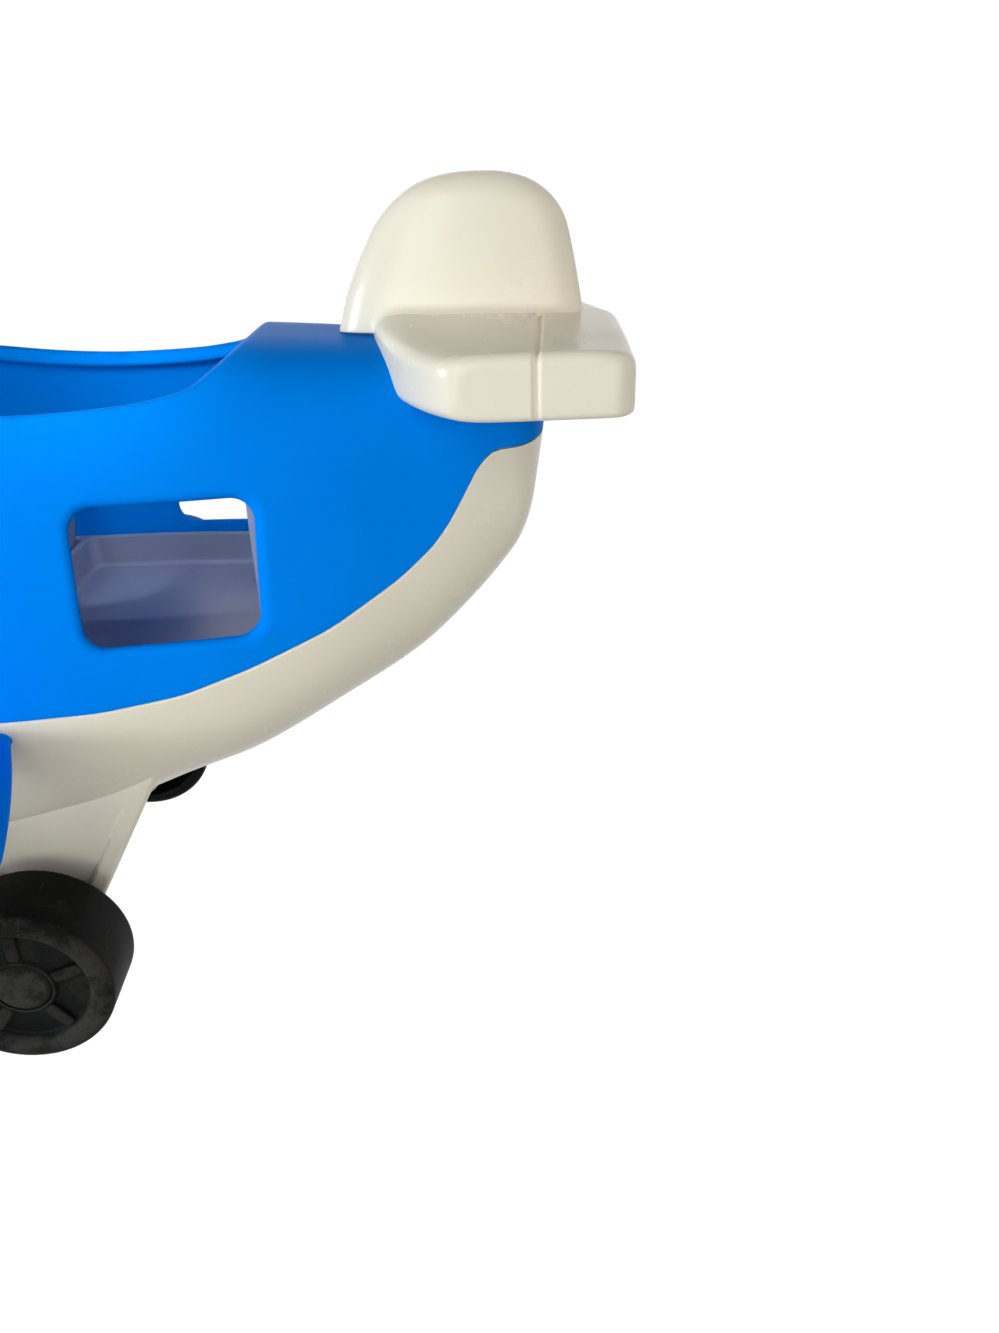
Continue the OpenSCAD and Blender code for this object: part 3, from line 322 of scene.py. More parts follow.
def softened(corners, radii, steps=5):
    # a closed polygon whose corners are rounded with arcs; one radius a corner, 0 keeps it
    straight = 1.52      # half angle past which a corner is left alone
    corners = np.asarray(corners, float)
    out = []
    count = len(corners)
    for i in range(count):
        p, r = corners[i], radii[i] if np.ndim(radii) else radii
        if r <= 0:
            out.append(p[None])
            continue
        a, b = corners[i - 1] - p, corners[(i + 1) % count] - p
        la, lb = np.linalg.norm(a), np.linalg.norm(b)
        a, b = a / la, b / lb
        half = 0.5 * math.acos(np.clip(a.dot(b), -1, 1))
        if half > straight:
            out.append(p[None])
            continue
        reach = min(r / math.tan(half), 0.49 * la, 0.49 * lb)
        r = reach * math.tan(half)
        middle = p + (a + b) / np.linalg.norm(a + b) * (r / math.sin(half))
        start, end = p + a * reach - middle, p + b * reach - middle
        t = np.linspace(0, 1, steps + 1)[:, None]
        swing = math.acos(np.clip(start.dot(end) / (r * r), -1, 1))
        arc = (np.sin((1 - t) * swing) * start + np.sin(t * swing) * end) / max(math.sin(swing), 1e-9)
        out.append(middle + arc)
    return np.concatenate(out)


def rollOff(d, r):
    # quarter-round edge: how far the surface has dropped at a distance d from the edge
    d = np.clip(d, 0, r)
    return r - np.sqrt(np.maximum(r * r - (r - d) ** 2, 0))


def smoothRise(x, low, high):
    # 0 below low, 1 above high, and t^2 (3 - 2t) between, t being the share of the way
    t = np.clip((x - low) / (high - low), 0, 1)
    return t * t * (3 - 2 * t)


def through(table, x, column):
    # smooth curve through a table's rows: a cubic between two rows, each slope taken from the neighbouring rows
    table = np.asarray(table, float)
    xs, ys = table[:, 0], table[:, column]
    slope = np.empty_like(ys)
    slope[1:-1] = (ys[2:] - ys[:-2]) / (xs[2:] - xs[:-2])
    slope[0], slope[-1] = (ys[1] - ys[0]) / (xs[1] - xs[0]), (ys[-1] - ys[-2]) / (xs[-1] - xs[-2])
    x = np.asarray(x, float)
    i = np.clip(np.searchsorted(xs, x, side="right") - 1, 0, len(xs) - 2)
    h = xs[i + 1] - xs[i]
    t = np.clip((x - xs[i]) / h, 0, 1)
    return (ys[i] * (1 + 2 * t) * (1 - t) ** 2 + slope[i] * h * t * (1 - t) ** 2
            + ys[i + 1] * t * t * (3 - 2 * t) + slope[i + 1] * h * t * t * (t - 1))


def signedPower(v, p):
    # |v|^p with the sign of v, which squares off a circle
    return np.sign(v) * np.abs(v) ** p


hull = {
    "tailEnd": 158.6, "noseTip": 178.0, "width": 100.0, "height": 130.0, "bellyZ": 40.0, "wall": 2.4,
    "noseRound": 34.0, "tailRound": 10.0, "noseJoint": 146.0, "upperPower": 3.7, "lowerPower": 4.0,
    "seamZ": 88.0, "seamGap": 0.3, "seamRound": 0.45, "seamSmooth": -145.0, "tongue": 3.0, "tongueInset": 1.35,
    "rimZ": 157.3, "rimRoll": 1.5, "windowZ": 122.0,
    # share of the length from the tail end, share of half width, share of height for the bottom and for the top
    "stations": [
        [0, 0.46, 0.755, 0.92], [0.0075, 0.51, 0.70, 0.925], [0.0145, 0.54, 0.628, 0.93],
        [0.032, 0.59, 0.560, 0.94], [0.060, 0.665, 0.480, 0.95], [0.101, 0.75, 0.386, 0.962],
        [0.161, 0.86, 0.295, 0.975], [0.228, 0.935, 0.200, 0.986], [0.285, 0.975, 0.148, 0.998],
        [0.352, 0.998, 0.083, 1.015], [0.46, 1, 0.024, 1.045], [0.66, 1, 0.006, 1.055],
        [0.73, 0.985, 0.016, 1.06], [0.785, 0.945, 0.036, 1.03], [0.835, 0.865, 0.066, 0.90],
        [0.90, 0.71, 0.128, 0.735], [0.95, 0.635, 0.170, 0.655], [1, 0.57, 0.205, 0.60]],
    # seam and rim: distance from the tail end, height above seamZ and rimZ
    "seam": [[0, 55.5], [16.1, 55.2], [17.7, 53], [22.6, 44], [28.1, 35.5], [37.6, 27.5], [55, 17], [73.6, 9.4],
             [90.8, 3.8], [109.8, 1], [130.8, 0], [200, 0], [336.6, 0]],
    "rim": [[85.7, 1.7], [93.1, 0.7], [106.6, 0], [120, -0.1], [136.6, 1], [154.6, 3.2],
            [178.6, 5.6], [208.6, 8.5], [225.1, 10.6]],
    # the cabin's opening past both ends of the rim: distance along and height from that end
    "deckEdge": [[-34, 60], [-20, 13.2], [-16, 10.6], [-9.2, 5.2], [-5, 2.4]],
    "hoodEdge": [[5, 2.4], [9, 6.2], [12, 11], [13.6, 22], [16, 60]],
}
bodyLength = hull["tailEnd"] + hull["noseTip"]
sectionRadius = hull["width"] / 2      # turns an angle round the section into millimetres along the skin
skinStep = (0.05, 0.0006)      # small steps along the fuselage and round it, over which slopes are taken


def endEase(x):
    # 0 at either end of the fuselage, 1 once past the rounding
    def ease(d, r):
        return (1 - (1 - np.clip(d / r, 0, 1)) ** 2.2) ** (1 / 2.2)
    return np.minimum(ease(x + hull["tailEnd"], hull["tailRound"]), ease(hull["noseTip"] - x, hull["noseRound"]))


# the fuselage's measures at a place along it, read from the stations
def hullShare(x): return (x + hull["tailEnd"]) / bodyLength
def halfWidth(x): return hull["width"] / 2 * through(hull["stations"], hullShare(x), 1)
def lowZ(x): return hull["bellyZ"] + hull["height"] * through(hull["stations"], hullShare(x), 2)
def highZ(x): return hull["bellyZ"] + hull["height"] * through(hull["stations"], hullShare(x), 3)
def middleZ(x): return (lowZ(x) + highZ(x)) / 2
def halfHeight(x): return (highZ(x) - lowZ(x)) / 2


def seamZ(x):
    # height of the line between the shells: the mean of four neighbours, but for the steep end at the tail
    table = np.asarray(hull["seam"])
    near = np.interp(x + hull["tailEnd"], table[:, 0], table[:, 1])
    wide = sum(np.interp(x + hull["tailEnd"] + d, table[:, 0], table[:, 1]) for d in (-2.4, -1.2, 1.2, 2.4)) / 4
    return hull["seamZ"] + np.where(x > hull["seamSmooth"], wide, near)


def unitSection(angle):
    # point of the squared-off section |y|^p + |z|^p = 1 at a polar angle
    c, s = np.cos(angle), np.sin(angle)
    p = np.where(s < 0, hull["lowerPower"], hull["upperPower"])
    q = (np.abs(c) ** p + np.abs(s) ** p) ** (-1 / p)
    return c * q, s * q


def hullPoint(x, angle, inset):
    # point of the fuselage skin; an inset moves it inwards, and towards the middle at the ends
    e = endEase(x)
    cy, cz = unitSection(angle)
    return np.stack([x + inset * (1 - 2 * hullShare(x)), (halfWidth(x) - inset) * e * cy,
                     middleZ(x) + (halfHeight(x) - inset) * e * cz], -1)


def angleAt(x, z, inset=0.0):
    # polar angle on the port side where the section reaches a height
    s = np.clip((z - middleZ(x)) / np.maximum((halfHeight(x) - inset) * endEase(x), 1e-3), -0.97, 0.97)
    p = np.where(s < 0, hull["lowerPower"], hull["upperPower"])
    return np.arctan2(s, (1 - np.abs(s) ** p) ** (1 / p))


def sideY(x, z, inset=0.0):
    # half width of the fuselage at a height: the section's |y|^p + |z|^p = 1 solved for y
    s = np.clip((z - middleZ(x)) / np.maximum((halfHeight(x) - inset) * endEase(x), 1e-3), -1, 1)
    p = np.where(s < 0, hull["lowerPower"], hull["upperPower"])
    return (halfWidth(x) - inset) * endEase(x) * (1 - np.abs(s) ** p) ** (1 / p)


def boxDistance(x, z, centre, size, radius, lean=0.0):
    # distance outside a rounded rectangle, below zero inside it
    u = x - centre[0] + lean * (z - centre[1]) / size[1]
    v = z - centre[1]
    a = np.abs(u) - size[0] / 2 + radius
    b = np.abs(v) - size[1] / 2 + radius
    return np.hypot(np.maximum(a, 0), np.maximum(b, 0)) + np.minimum(np.maximum(a, b), 0) - radius


rimStart = hull["rim"][0][0] - hull["tailEnd"]
rimEnd = hull["rim"][-1][0] - hull["tailEnd"]


def rimCurve():
    # the cabin rim seen from the side: deck edge, rim, hood edge, as one smooth line
    def rimAt(x):
        return hull["rimZ"] + through(hull["rim"], np.asarray(x) + hull["tailEnd"], 1)
    deck = np.array(hull["deckEdge"]) + [rimStart, float(rimAt(rimStart))]
    hood = np.array(hull["hoodEdge"]) + [rimEnd, float(rimAt(rimEnd))]
    xs = np.linspace(rimStart + 1, rimEnd - 1, 26)
    # rolling sinks the edge by about rimRoll, so that the line lies that much higher
    line = np.concatenate([deck, np.stack([xs, rimAt(xs) + hull["rimRoll"]], -1), hood])
    for _ in range(2):      # each corner is cut at a quarter of its two sides
        a, b = line[:-1], line[1:]
        quarters = np.stack([0.75 * a + 0.25 * b, 0.25 * a + 0.75 * b], 1).reshape(-1, 2)
        line = np.concatenate([line[:1], quarters, line[-1:]])
    return line


rimLine = rimCurve()


def aboveRim(x, z):
    # distance from the rim line, the least over its pieces; less than zero in the cabin's open top
    a, b = rimLine[:-1], rimLine[1:]
    ab = b - a
    flat = np.stack([np.ravel(x), np.ravel(z)], -1)
    best = np.full(len(flat), 1e9)
    for start, step in zip(a, ab):
        t = np.clip(((flat - start) @ step) / step.dot(step), 0, 1)
        best = np.minimum(best, np.hypot(*(flat - start - t[:, None] * step).T))
    under = flat[:, 1] < np.interp(flat[:, 0], rimLine[:, 0], rimLine[:, 1])
    return np.where(under, best, -best).reshape(np.shape(x))


# side windows: middles along the fuselage, size, corner radius and forward lean of their upright edges.
# Panes of the windscreen: place of their middles, how far below the roof they lie and how deep the cut goes.
windows = {
    "cabin": {"at": [-70.0, 14.0], "size": (40.0, 34.0), "radius": 5.5, "lean": 2.2},
    "cockpit": {"at": [99.0], "size": (26.0, 24.0), "radius": 5.5, "lean": 2.2, "up": 12.0},
    "pane": {"size": (21.0, 24.0), "radius": 5.5, "x": 110.0, "y": 14.5, "down": 8.0, "deep": 2.0},
}
# slope of the nose where the windscreen lies
slopeTop = math.atan2(float(highZ(120.0) - highZ(100.0)), 20)


def holeField(x, angle):
    # smallest distance to any opening of the upper shell, below zero inside one, and 1 where that is the cabin rim
    p = hullPoint(x, angle, 0.0)
    z = p[..., 2]
    rim = aboveRim(p[..., 0], z)
    field = rim.copy()
    for xc in windows["cabin"]["at"]:
        w = windows["cabin"]
        field = np.minimum(field, boxDistance(p[..., 0], z, (xc, hull["windowZ"]), w["size"], w["radius"], w["lean"]))
    w = windows["cockpit"]
    field = np.minimum(field, boxDistance(p[..., 0], z, (w["at"][0], hull["windowZ"] + w["up"]), w["size"],
                                          w["radius"], w["lean"]))
    w = windows["pane"]      # the windscreen panes are cut square to the slope
    forward, raised = p[..., 0] - w["x"], z - float(highZ(w["x"])) + w["down"]
    along = forward * math.cos(slopeTop) + raised * math.sin(slopeTop)
    lifted = raised * math.cos(slopeTop) - forward * math.sin(slopeTop)
    front = boxDistance(along, np.abs(p[..., 1]) - w["y"], (0, 0), w["size"], w["radius"])
    field = np.minimum(field, np.maximum(front, -w["deep"] - lifted))
    return field, rim


def surfaceField(fieldOf, pointOf, u, v, step):
    # the field as a distance along a surface, with the shift of u and v that raises it by 1:
    # with the first form e, g, m the gradient is (g fu - m fv, e fv - m fu) / (e g - m^2)
    h, k = step
    f, p = fieldOf(u, v), pointOf(u, v)
    fu, fv = (fieldOf(u + h, v) - f) / h, (fieldOf(u, v + k) - f) / k
    pu, pv = (pointOf(u + h, v) - p) / h, (pointOf(u, v + k) - p) / k
    e, g, m = (pu * pu).sum(-1), (pv * pv).sum(-1), (pu * pv).sum(-1)
    det = np.maximum(e * g - m * m, 1e-6)
    du, dv = (g * fu - m * fv) / det, (e * fv - m * fu) / det
    steep = np.sqrt(np.maximum(fu * du + fv * dv, 1e-4))
    return f / steep, du / steep, dv / steep


def cutGrid(u, v, tag, field, level):
    # keeps the part of a grid where field > level. Cells on the line are cut along it.
    rows, columns = u.shape
    flat = (field - level).ravel()
    keep = flat >= 0
    ids = np.arange(rows * columns).reshape(rows, columns)
    values = np.stack([u.ravel(), v.ravel(), tag.ravel()], -1)
    count, made, crossing = rows * columns, [values], {}
    for name, a, b in (("along", ids[:, :-1], ids[:, 1:]), ("down", ids[:-1], ids[1:])):
        cross = (flat[a] >= 0) != (flat[b] >= 0)
        ends = flat[a[cross]], flat[b[cross]]
        t = np.clip(ends[0] / (ends[0] - ends[1]), 0.02, 0.98)[:, None]
        made.append(values[a[cross]] * (1 - t) + values[b[cross]] * t)
        number = np.full(a.shape, -1)
        number[cross] = count + np.arange(int(cross.sum()))
        count += int(cross.sum())
        crossing[name] = number
    corner = np.stack([ids[:-1, :-1], ids[:-1, 1:], ids[1:, 1:], ids[1:, :-1]], -1).reshape(-1, 4)
    edge = np.stack([crossing["along"][:-1], crossing["down"][:, 1:], crossing["along"][1:], crossing["down"][:, :-1]],
                    -1).reshape(-1, 4)
    kept = keep[corner]
    some = kept.any(1) & ~kept.all(1)
    ring = np.stack([np.where(kept[some], corner[some], -1), edge[some]], -1).reshape(-1, 8)
    sizes = (ring >= 0).sum(1)
    groups = [corner[kept.all(1)]] + [ring[sizes == n][ring[sizes == n] >= 0].reshape(-1, n) for n in (3, 4, 5, 6)]
    return np.concatenate(made), [g for g in groups if len(g)]


def openEdges(groups):
    # directed edges that only one face uses
    pairs = np.concatenate([np.stack([g, np.roll(g, -1, 1)], -1).reshape(-1, 2) for g in groups if len(g)])
    big = int(pairs.max()) + 1
    return pairs[~np.isin(pairs[:, 0] * big + pairs[:, 1], pairs[:, 1] * big + pairs[:, 0])]


def cutAway(fieldOf, pointOf, u, v, tag, start, shares, step=skinStep):
    # a grid without the places closer than start to an opening, then rows that close in on the opening's edge.
    # Gives u, v, tag and distance of each point, the faces, and the edges round the openings.
    values, groups = cutGrid(u, v, tag, surfaceField(fieldOf, pointOf, u, v, step)[0], start)
    used = np.unique(np.concatenate([g.ravel() for g in groups]))
    number = np.full(len(values), -1)
    number[used] = np.arange(len(used))
    values, groups = values[used], [number[g] for g in groups]
    distance = surfaceField(fieldOf, pointOf, values[:, 0], values[:, 1], step)[0]
    edges = openEdges(groups)
    edges = edges[(distance[edges] < start + 0.25).all(1)]
    ids = np.unique(edges)
    order = np.full(len(values), -1)
    order[ids] = np.arange(len(ids))
    row, total = ids, len(values)
    ringU, ringV = values[ids, 0].copy(), values[ids, 1].copy()
    allValues, allDistance = [values], [np.minimum(distance, 1e3)]
    for share in [1.0] + list(shares):
        for _ in range(5):
            f, du, dv = surfaceField(fieldOf, pointOf, ringU, ringV, step)
            move = np.clip(f - start * share, -2.0, 2.0)
            ringU, ringV = ringU - du * move, ringV - dv * move
        if share == 1.0:
            values[ids, 0], values[ids, 1], allDistance[0][ids] = ringU, ringV, start
            continue
        allValues.append(np.stack([ringU, ringV, values[ids, 2]], -1))
        allDistance.append(np.full(len(ids), start * share))
        new = total + np.arange(len(ids))
        a, b = order[edges[:, 0]], order[edges[:, 1]]
        groups.append(np.stack([row[b], row[a], new[a], new[b]], -1))
        row, total = new, total + len(ids)
    whole = np.concatenate(allValues)
    border = np.stack([row[order[edges[:, 0]]], row[order[edges[:, 1]]]], -1)
    return whole[:, 0], whole[:, 1], whole[:, 2], np.concatenate(allDistance), groups, border


def wallUp(outer, inner, groups):
    # an outer and an inner skin over the same faces, joined along every open edge
    count = len(outer)
    border = openEdges(groups)
    walls = np.stack([border[:, 1], border[:, 0], border[:, 0] + count, border[:, 1] + count], -1)
    return np.concatenate([outer, inner]), groups + [g[:, ::-1] + count for g in groups] + [walls]


def sink(points, groups, border, centres, moves):
    # carries the edge round each opening on through moves (inwards, along the way) and closes it at its centre
    ids = np.unique(border)
    order = np.full(len(points), -1)
    order[ids] = np.arange(len(ids))
    centres = np.asarray(centres, float)
    middle, way = centres[:, :3], centres[:, 3:6]
    near = np.linalg.norm(points[ids][:, None] - middle[None], axis=2).argmin(1)
    spoke = points[ids] - middle[near]
    spoke -= way[near] * (spoke * way[near]).sum(1)[:, None]
    spoke /= np.linalg.norm(spoke, axis=1)[:, None]
    a, b = order[border[:, 0]], order[border[:, 1]]
    row, total, added, faces = ids, len(points), [points], []
    for inwards, along in moves:
        added.append(points[ids] - spoke * inwards + way[near] * along)
        new = total + np.arange(len(ids))
        faces.append(np.stack([row[b], row[a], new[a], new[b]], -1))
        row, total = new, total + len(ids)
    added.append(np.array([added[-1][near == k].mean(0) for k in range(len(centres))]))
    faces.append(np.stack([row[b], row[a], total + near[a]], -1))
    return np.concatenate(added), groups + faces


def shellStations(start, end, fineSpots, coarse=1.9, close=0.95):
    # places along the fuselage, coarse apart, close together near the spots and closest at the start
    x = np.linspace(start, end, 1600)
    need = np.full_like(x, coarse)
    for spot, reach in fineSpots:
        need = np.minimum(need, close + (coarse - close) * smoothRise(np.abs(x - spot), reach * 0.6, reach * 1.6))
    need = np.minimum(need, 0.16 + 0.16 * (x - start))
    total = np.concatenate([[0], np.cumsum((x[1] - x[0]) / need[:-1])])
    return np.interp(np.linspace(0, total[-1], int(total[-1]) + 1), total, x)


# start: how far from an opening the close rows begin, at these shares of that distance
upper = {"edgeRound": 2.1, "windowRound": 1.7, "innerRound": 0.7, "lip": 1.7, "lipWidth": (1.2, 5.4), "lipRound": 1.9,
         "rimReach": 9.0, "lipReach": 16.0, "columns": 151, "start": 2.1, "shares": [0.78, 0.58, 0.4, 0.24, 0.1, 0.0],
         "fine": [(-90, 4), (-51, 4), (-7, 4), (33, 4), (80, 4), (113, 5)]}


def skinPlace(x, angle):
    # point of the outer skin
    return hullPoint(x, angle, 0.0)


def upperField(x, angle):
    # distance to the nearest opening
    return holeField(x, angle)[0]


def rimField(x, angle):
    # distance to the cabin's rim alone
    return holeField(x, angle)[1]


def sharesAcross(columns):
    # shares from edge to edge: three close together at either edge, so that it can be rounded, and even ones between
    near = np.array([0, 0.0016, 0.0042])
    return np.concatenate([near, np.linspace(0, 1, columns)[1:-1] * 0.985 + 0.0075, 1 - near[::-1]])


def buildUpperShell():
    # the blue shell: outer skin and inner skin over one grid, cut at the openings and joined along every edge
    x = shellStations(-hull["tailEnd"], hull["noseJoint"], upper["fine"])
    low = angleAt(x, seamZ(x) + hull["seamGap"] / 2)
    t = sharesAcross(upper["columns"])
    stations = np.repeat(x[:, None], len(t), 1)
    turns = low[:, None] + (np.pi - 2 * low)[:, None] * t
    xs, angles, _tag, d, groups, _border = cutAway(upperField, skinPlace, stations, turns, 0 * turns, upper["start"],
                                                   upper["shares"])
    rim = surfaceField(rimField, skinPlace, xs, angles, skinStep)[0]
    seamAngle = angleAt(xs, seamZ(xs))
    onSeam = np.minimum(angles - seamAngle, np.pi - angles - seamAngle) * sectionRadius
    # rolled rim, softer window edges, and a fine round along the seam and the joint with the nose cap
    byHole, byRim = d < upper["start"], rim < upper["rimReach"]
    edgeRound = np.where(byRim, upper["edgeRound"], upper["windowRound"])
    drop = rollOff(d * edgeRound / upper["start"], edgeRound) * byHole
    atSeam = rollOff(onSeam, hull["seamRound"]) + rollOff(hull["noseJoint"] - xs, hull["seamRound"])
    outer = hullPoint(xs, angles, drop + atSeam)
    # the bead inside the rim: full at the edge, nothing past its width, and none round the windows
    lip = upper["lip"] * (1 - smoothRise(d, *upper["lipWidth"])) * (rim < upper["lipReach"])
    lip = np.where(byRim | (rim < d + 0.5), lip, 0.0)
    innerRound = np.where(lip > 0.4, upper["lipRound"], upper["innerRound"])
    inner = hullPoint(xs, angles, hull["wall"] + lip - rollOff(d, innerRound) * byHole)
    return wallUp(outer, inner, groups)


addPiece("upper_shell_moulding", *buildUpperShell(), "blue", "plane", "blue_shell", ("upper_shell",), sharp=50)
print("upper shell made")

# screws: x and y on the port side. Post: its bore, the head's well and its outside, as radii.
belly = {"columns": 150, "holeRadius": 3.2, "start": 0.9, "shares": [0.6, 0.3, 0.1, 0.0], "holeRound": 0.5,
         "fine": [(-104, 5), (20, 6), (44, 6), (131, 6)], "caseScrews": [(-104.0, 17.0), (131.0, 18.5)],
         "wingScrews": [(20.0, 34.0), (44.0, 34.0)], "caseSeat": 8.0, "caseTop": 0.2, "wingSeat": 70.6,
         "wingTop": 80.5, "post": (1.75, 3.15, 4.4), "wellFloor": 0.9}


def bellyField(x, angle):
    # distance to the counterbores of the case and wing screws, seen from below
    p = hullPoint(x, angle, 0.0)
    far = 60.0
    field = np.full(np.shape(x), far)
    for hx, hy in belly["caseScrews"] + belly["wingScrews"]:
        near = np.hypot(p[..., 0] - hx, np.abs(p[..., 1]) - hy) - belly["holeRadius"]
        field = np.minimum(field, np.where(p[..., 2] < middleZ(x), near, far))
    return field


def buildBelly():
    # the white shell: a lower half section, with its tongue standing up inside the blue shell's edge
    x = shellStations(-hull["tailEnd"], hull["noseJoint"], belly["fine"], 2.0, 1.0)
    seam = angleAt(x, seamZ(x) - hull["seamGap"] / 2)[:, None]
    tongue = angleAt(x, seamZ(x) + hull["tongue"], hull["tongueInset"])[:, None]
    turns = seam - (np.pi + 2 * seam) * sharesAcross(belly["columns"])
    turns = np.concatenate([tongue, seam, turns, -np.pi - seam, -np.pi - tongue], 1)
    stations = np.repeat(x[:, None], turns.shape[1], 1)
    inset = np.zeros_like(turns)
    inset[:, [0, 1, -2, -1]] = hull["tongueInset"]
    xs, angles, extra, d, groups, _border = cutAway(bellyField, skinPlace, stations, turns, inset, belly["start"],
                                                    belly["shares"])
    seamAngle = angleAt(xs, seamZ(xs))
    onSeam = np.minimum(seamAngle - angles, angles + np.pi + seamAngle) * sectionRadius
    atSeam = rollOff(onSeam, hull["seamRound"]) + rollOff(hull["noseJoint"] - xs, hull["seamRound"])
    edge = np.where(extra > 0.5, 0.0, atSeam + rollOff(d, belly["holeRound"]))
    return wallUp(hullPoint(xs, angles, extra + edge), hullPoint(xs, angles, hull["wall"]), groups)


def screwPlaces(kind):
    # x, y, height of the head's seat and of the post's top; the case screws' heights go by the seam
    if kind == "wing":
        return [(x, y, belly["wingSeat"], belly["wingTop"]) for x, y in belly["wingScrews"]]
    return [(x, y, float(seamZ(x)) - belly["caseSeat"], float(seamZ(x)) - belly["caseTop"])
            for x, y in belly["caseScrews"]]


def screwWells():
    # posts with a counterbore for the screw's head, from the belly's skin up to their tops
    shapes, p = [], hull["lowerPower"]
    bore, well, out = belly["post"]
    for hx, hy, seat, top in screwPlaces("case") + screwPlaces("wing"):
        skin = float(middleZ(hx) - halfHeight(hx) * (1 - (hy / halfWidth(hx)) ** p) ** (1 / p))
        foot = skin + belly["wellFloor"]
        tube = softened([[seat, bore], [seat, well], [foot, well], [foot, out], [top, out], [top, bore]], 0.2, 2)
        for side in (-1, 1):
            shapes.append(turnedShape(np.vstack([tube, tube[:1]]), (hx, side * hy, 0), (0, 0, 1), 40))
    return joinShapes(shapes)


addPiece("belly_shell_moulding", *buildBelly(), "white", "plane", "white_shell", ("belly_shell",), sharp=50)
addPiece("belly_screw_posts", *screwWells(), "white", "plane", "white_shell")
print("belly made")

# recess: the shallow field between the ribs outside. Pocket: the hollow inside. Boss: from, to, bore and radius.
leg = {"axleX": -21.4, "wheelR": 22.5, "topLength": 67.0, "footLength": 20.5, "footDrop": 9.25, "footShare": 0.97,
       "topZ": 64.0, "face": 42.5, "thick": 11.0, "edge": 1.3, "rib": 4.6, "recess": 3.0, "recessFoot": 30.0,
       "recessTop": 59.0, "recessRun": 28.5, "pocket": 5.4, "pocketWall": 3.0, "pocketFoot": 29.0, "pocketTop": 50.0,
       "boss": (31.6, 47.2, 2.2, 6.0)}


def legHalf(z):
    # half length of a leg at a height: straight tapering edges, and a round foot below the axle
    wider = (leg["topLength"] - leg["footLength"]) / 2
    straight = leg["footLength"] / 2 + wider * (z - leg["wheelR"]) / (leg["topZ"] - leg["wheelR"])
    below = (leg["wheelR"] - z) / leg["footDrop"]
    foot = leg["footShare"] * leg["footLength"] / 2 * np.sqrt(np.clip(1 - below ** 2, 0, 1))
    return np.where(z > leg["wheelR"], straight, foot)


def buildLeg():
    # closed sections stacked upwards. Outside, a recess between two ribs runs out to nothing at the top; the inner
    # side has a pocket, and the long edges are quarter rounds.
    r, drop = leg["wheelR"], leg["footDrop"]
    z = np.concatenate([r - drop * np.cos(np.linspace(0, np.pi / 2, 22)), np.linspace(r + 0.5, leg["topZ"] + 4, 76)])
    half = np.maximum(legHalf(z), 0.02)[:, None]
    edge = np.minimum(leg["edge"], half)
    across = signedPower(np.linspace(-1, 1, 90), 0.8)
    turn = np.linspace(0, np.pi / 2, 7)[1:-1]
    face, back = leg["face"], leg["face"] - leg["thick"]
    x = across * (half - edge)
    up = np.repeat(z[:, None], len(across), 1)
    depth = leg["recess"] * np.clip((leg["recessTop"] - up) / leg["recessRun"], 0, 1.02)
    recess = (smoothRise(half - leg["rib"] - np.abs(x), 0, 0.9)
              * smoothRise(up, leg["recessFoot"], leg["recessFoot"] + 1.6))
    pocket = (smoothRise(half - leg["pocketWall"] - np.abs(x), 0, 0.7)
              * smoothRise(up, leg["pocketFoot"], leg["pocketFoot"] + 1)
              * (1 - smoothRise(up, leg["pocketTop"], leg["pocketTop"] + 1.5)))
    outer, inner = face - depth * recess, back + leg["pocket"] * pocket

    def corner(sx, sy):
        # quarter round of radius edge at one of the section's four corners
        swing = (np.sin(turn), np.cos(turn)) if sx * sy > 0 else (np.cos(turn), np.sin(turn))
        cx = sx * (half - edge) + sx * edge * swing[0]
        cy = (face if sy > 0 else back) - sy * edge * (1 - swing[1])
        return cx, cy

    low, high = back + edge, face - edge
    parts = [(x, outer), corner(1, 1), (half, high), (half, low), corner(1, -1), (x[:, ::-1], inner[:, ::-1]),
             corner(-1, -1), (-half, low), (-half, high), corner(-1, 1)]
    along, out = (np.concatenate([part[k] for part in parts], 1) for k in (0, 1))
    rings = np.stack([along + leg["axleX"], out, np.repeat(z[:, None], along.shape[1], 1)], -1)
    start, end, bore, radius = leg["boss"]
    boss = softened([[start, bore], [start, radius], [end, radius], [end, bore]], [0, 0.6, 0.6, 0], 4)
    tube = turnedShape(np.vstack([boss, boss[:1]]), (leg["axleX"], 0, leg["wheelR"]), (0, 1, 0), 64)
    return joinShapes([loftShape(rings), tube])


fork = {"x": 118.0, "axleZ": 17.0, "thick": 4.0, "inner": 8.3, "foot": 6.5, "rearSpread": 6.5, "frontSpread": 4.5,
        "into": 2.4, "boss": [[7.9, 2.1], [7.9, 3.9], [8.2, 4.2], [8.5, 4.2], [8.5, 2.1], [7.9, 2.1]]}


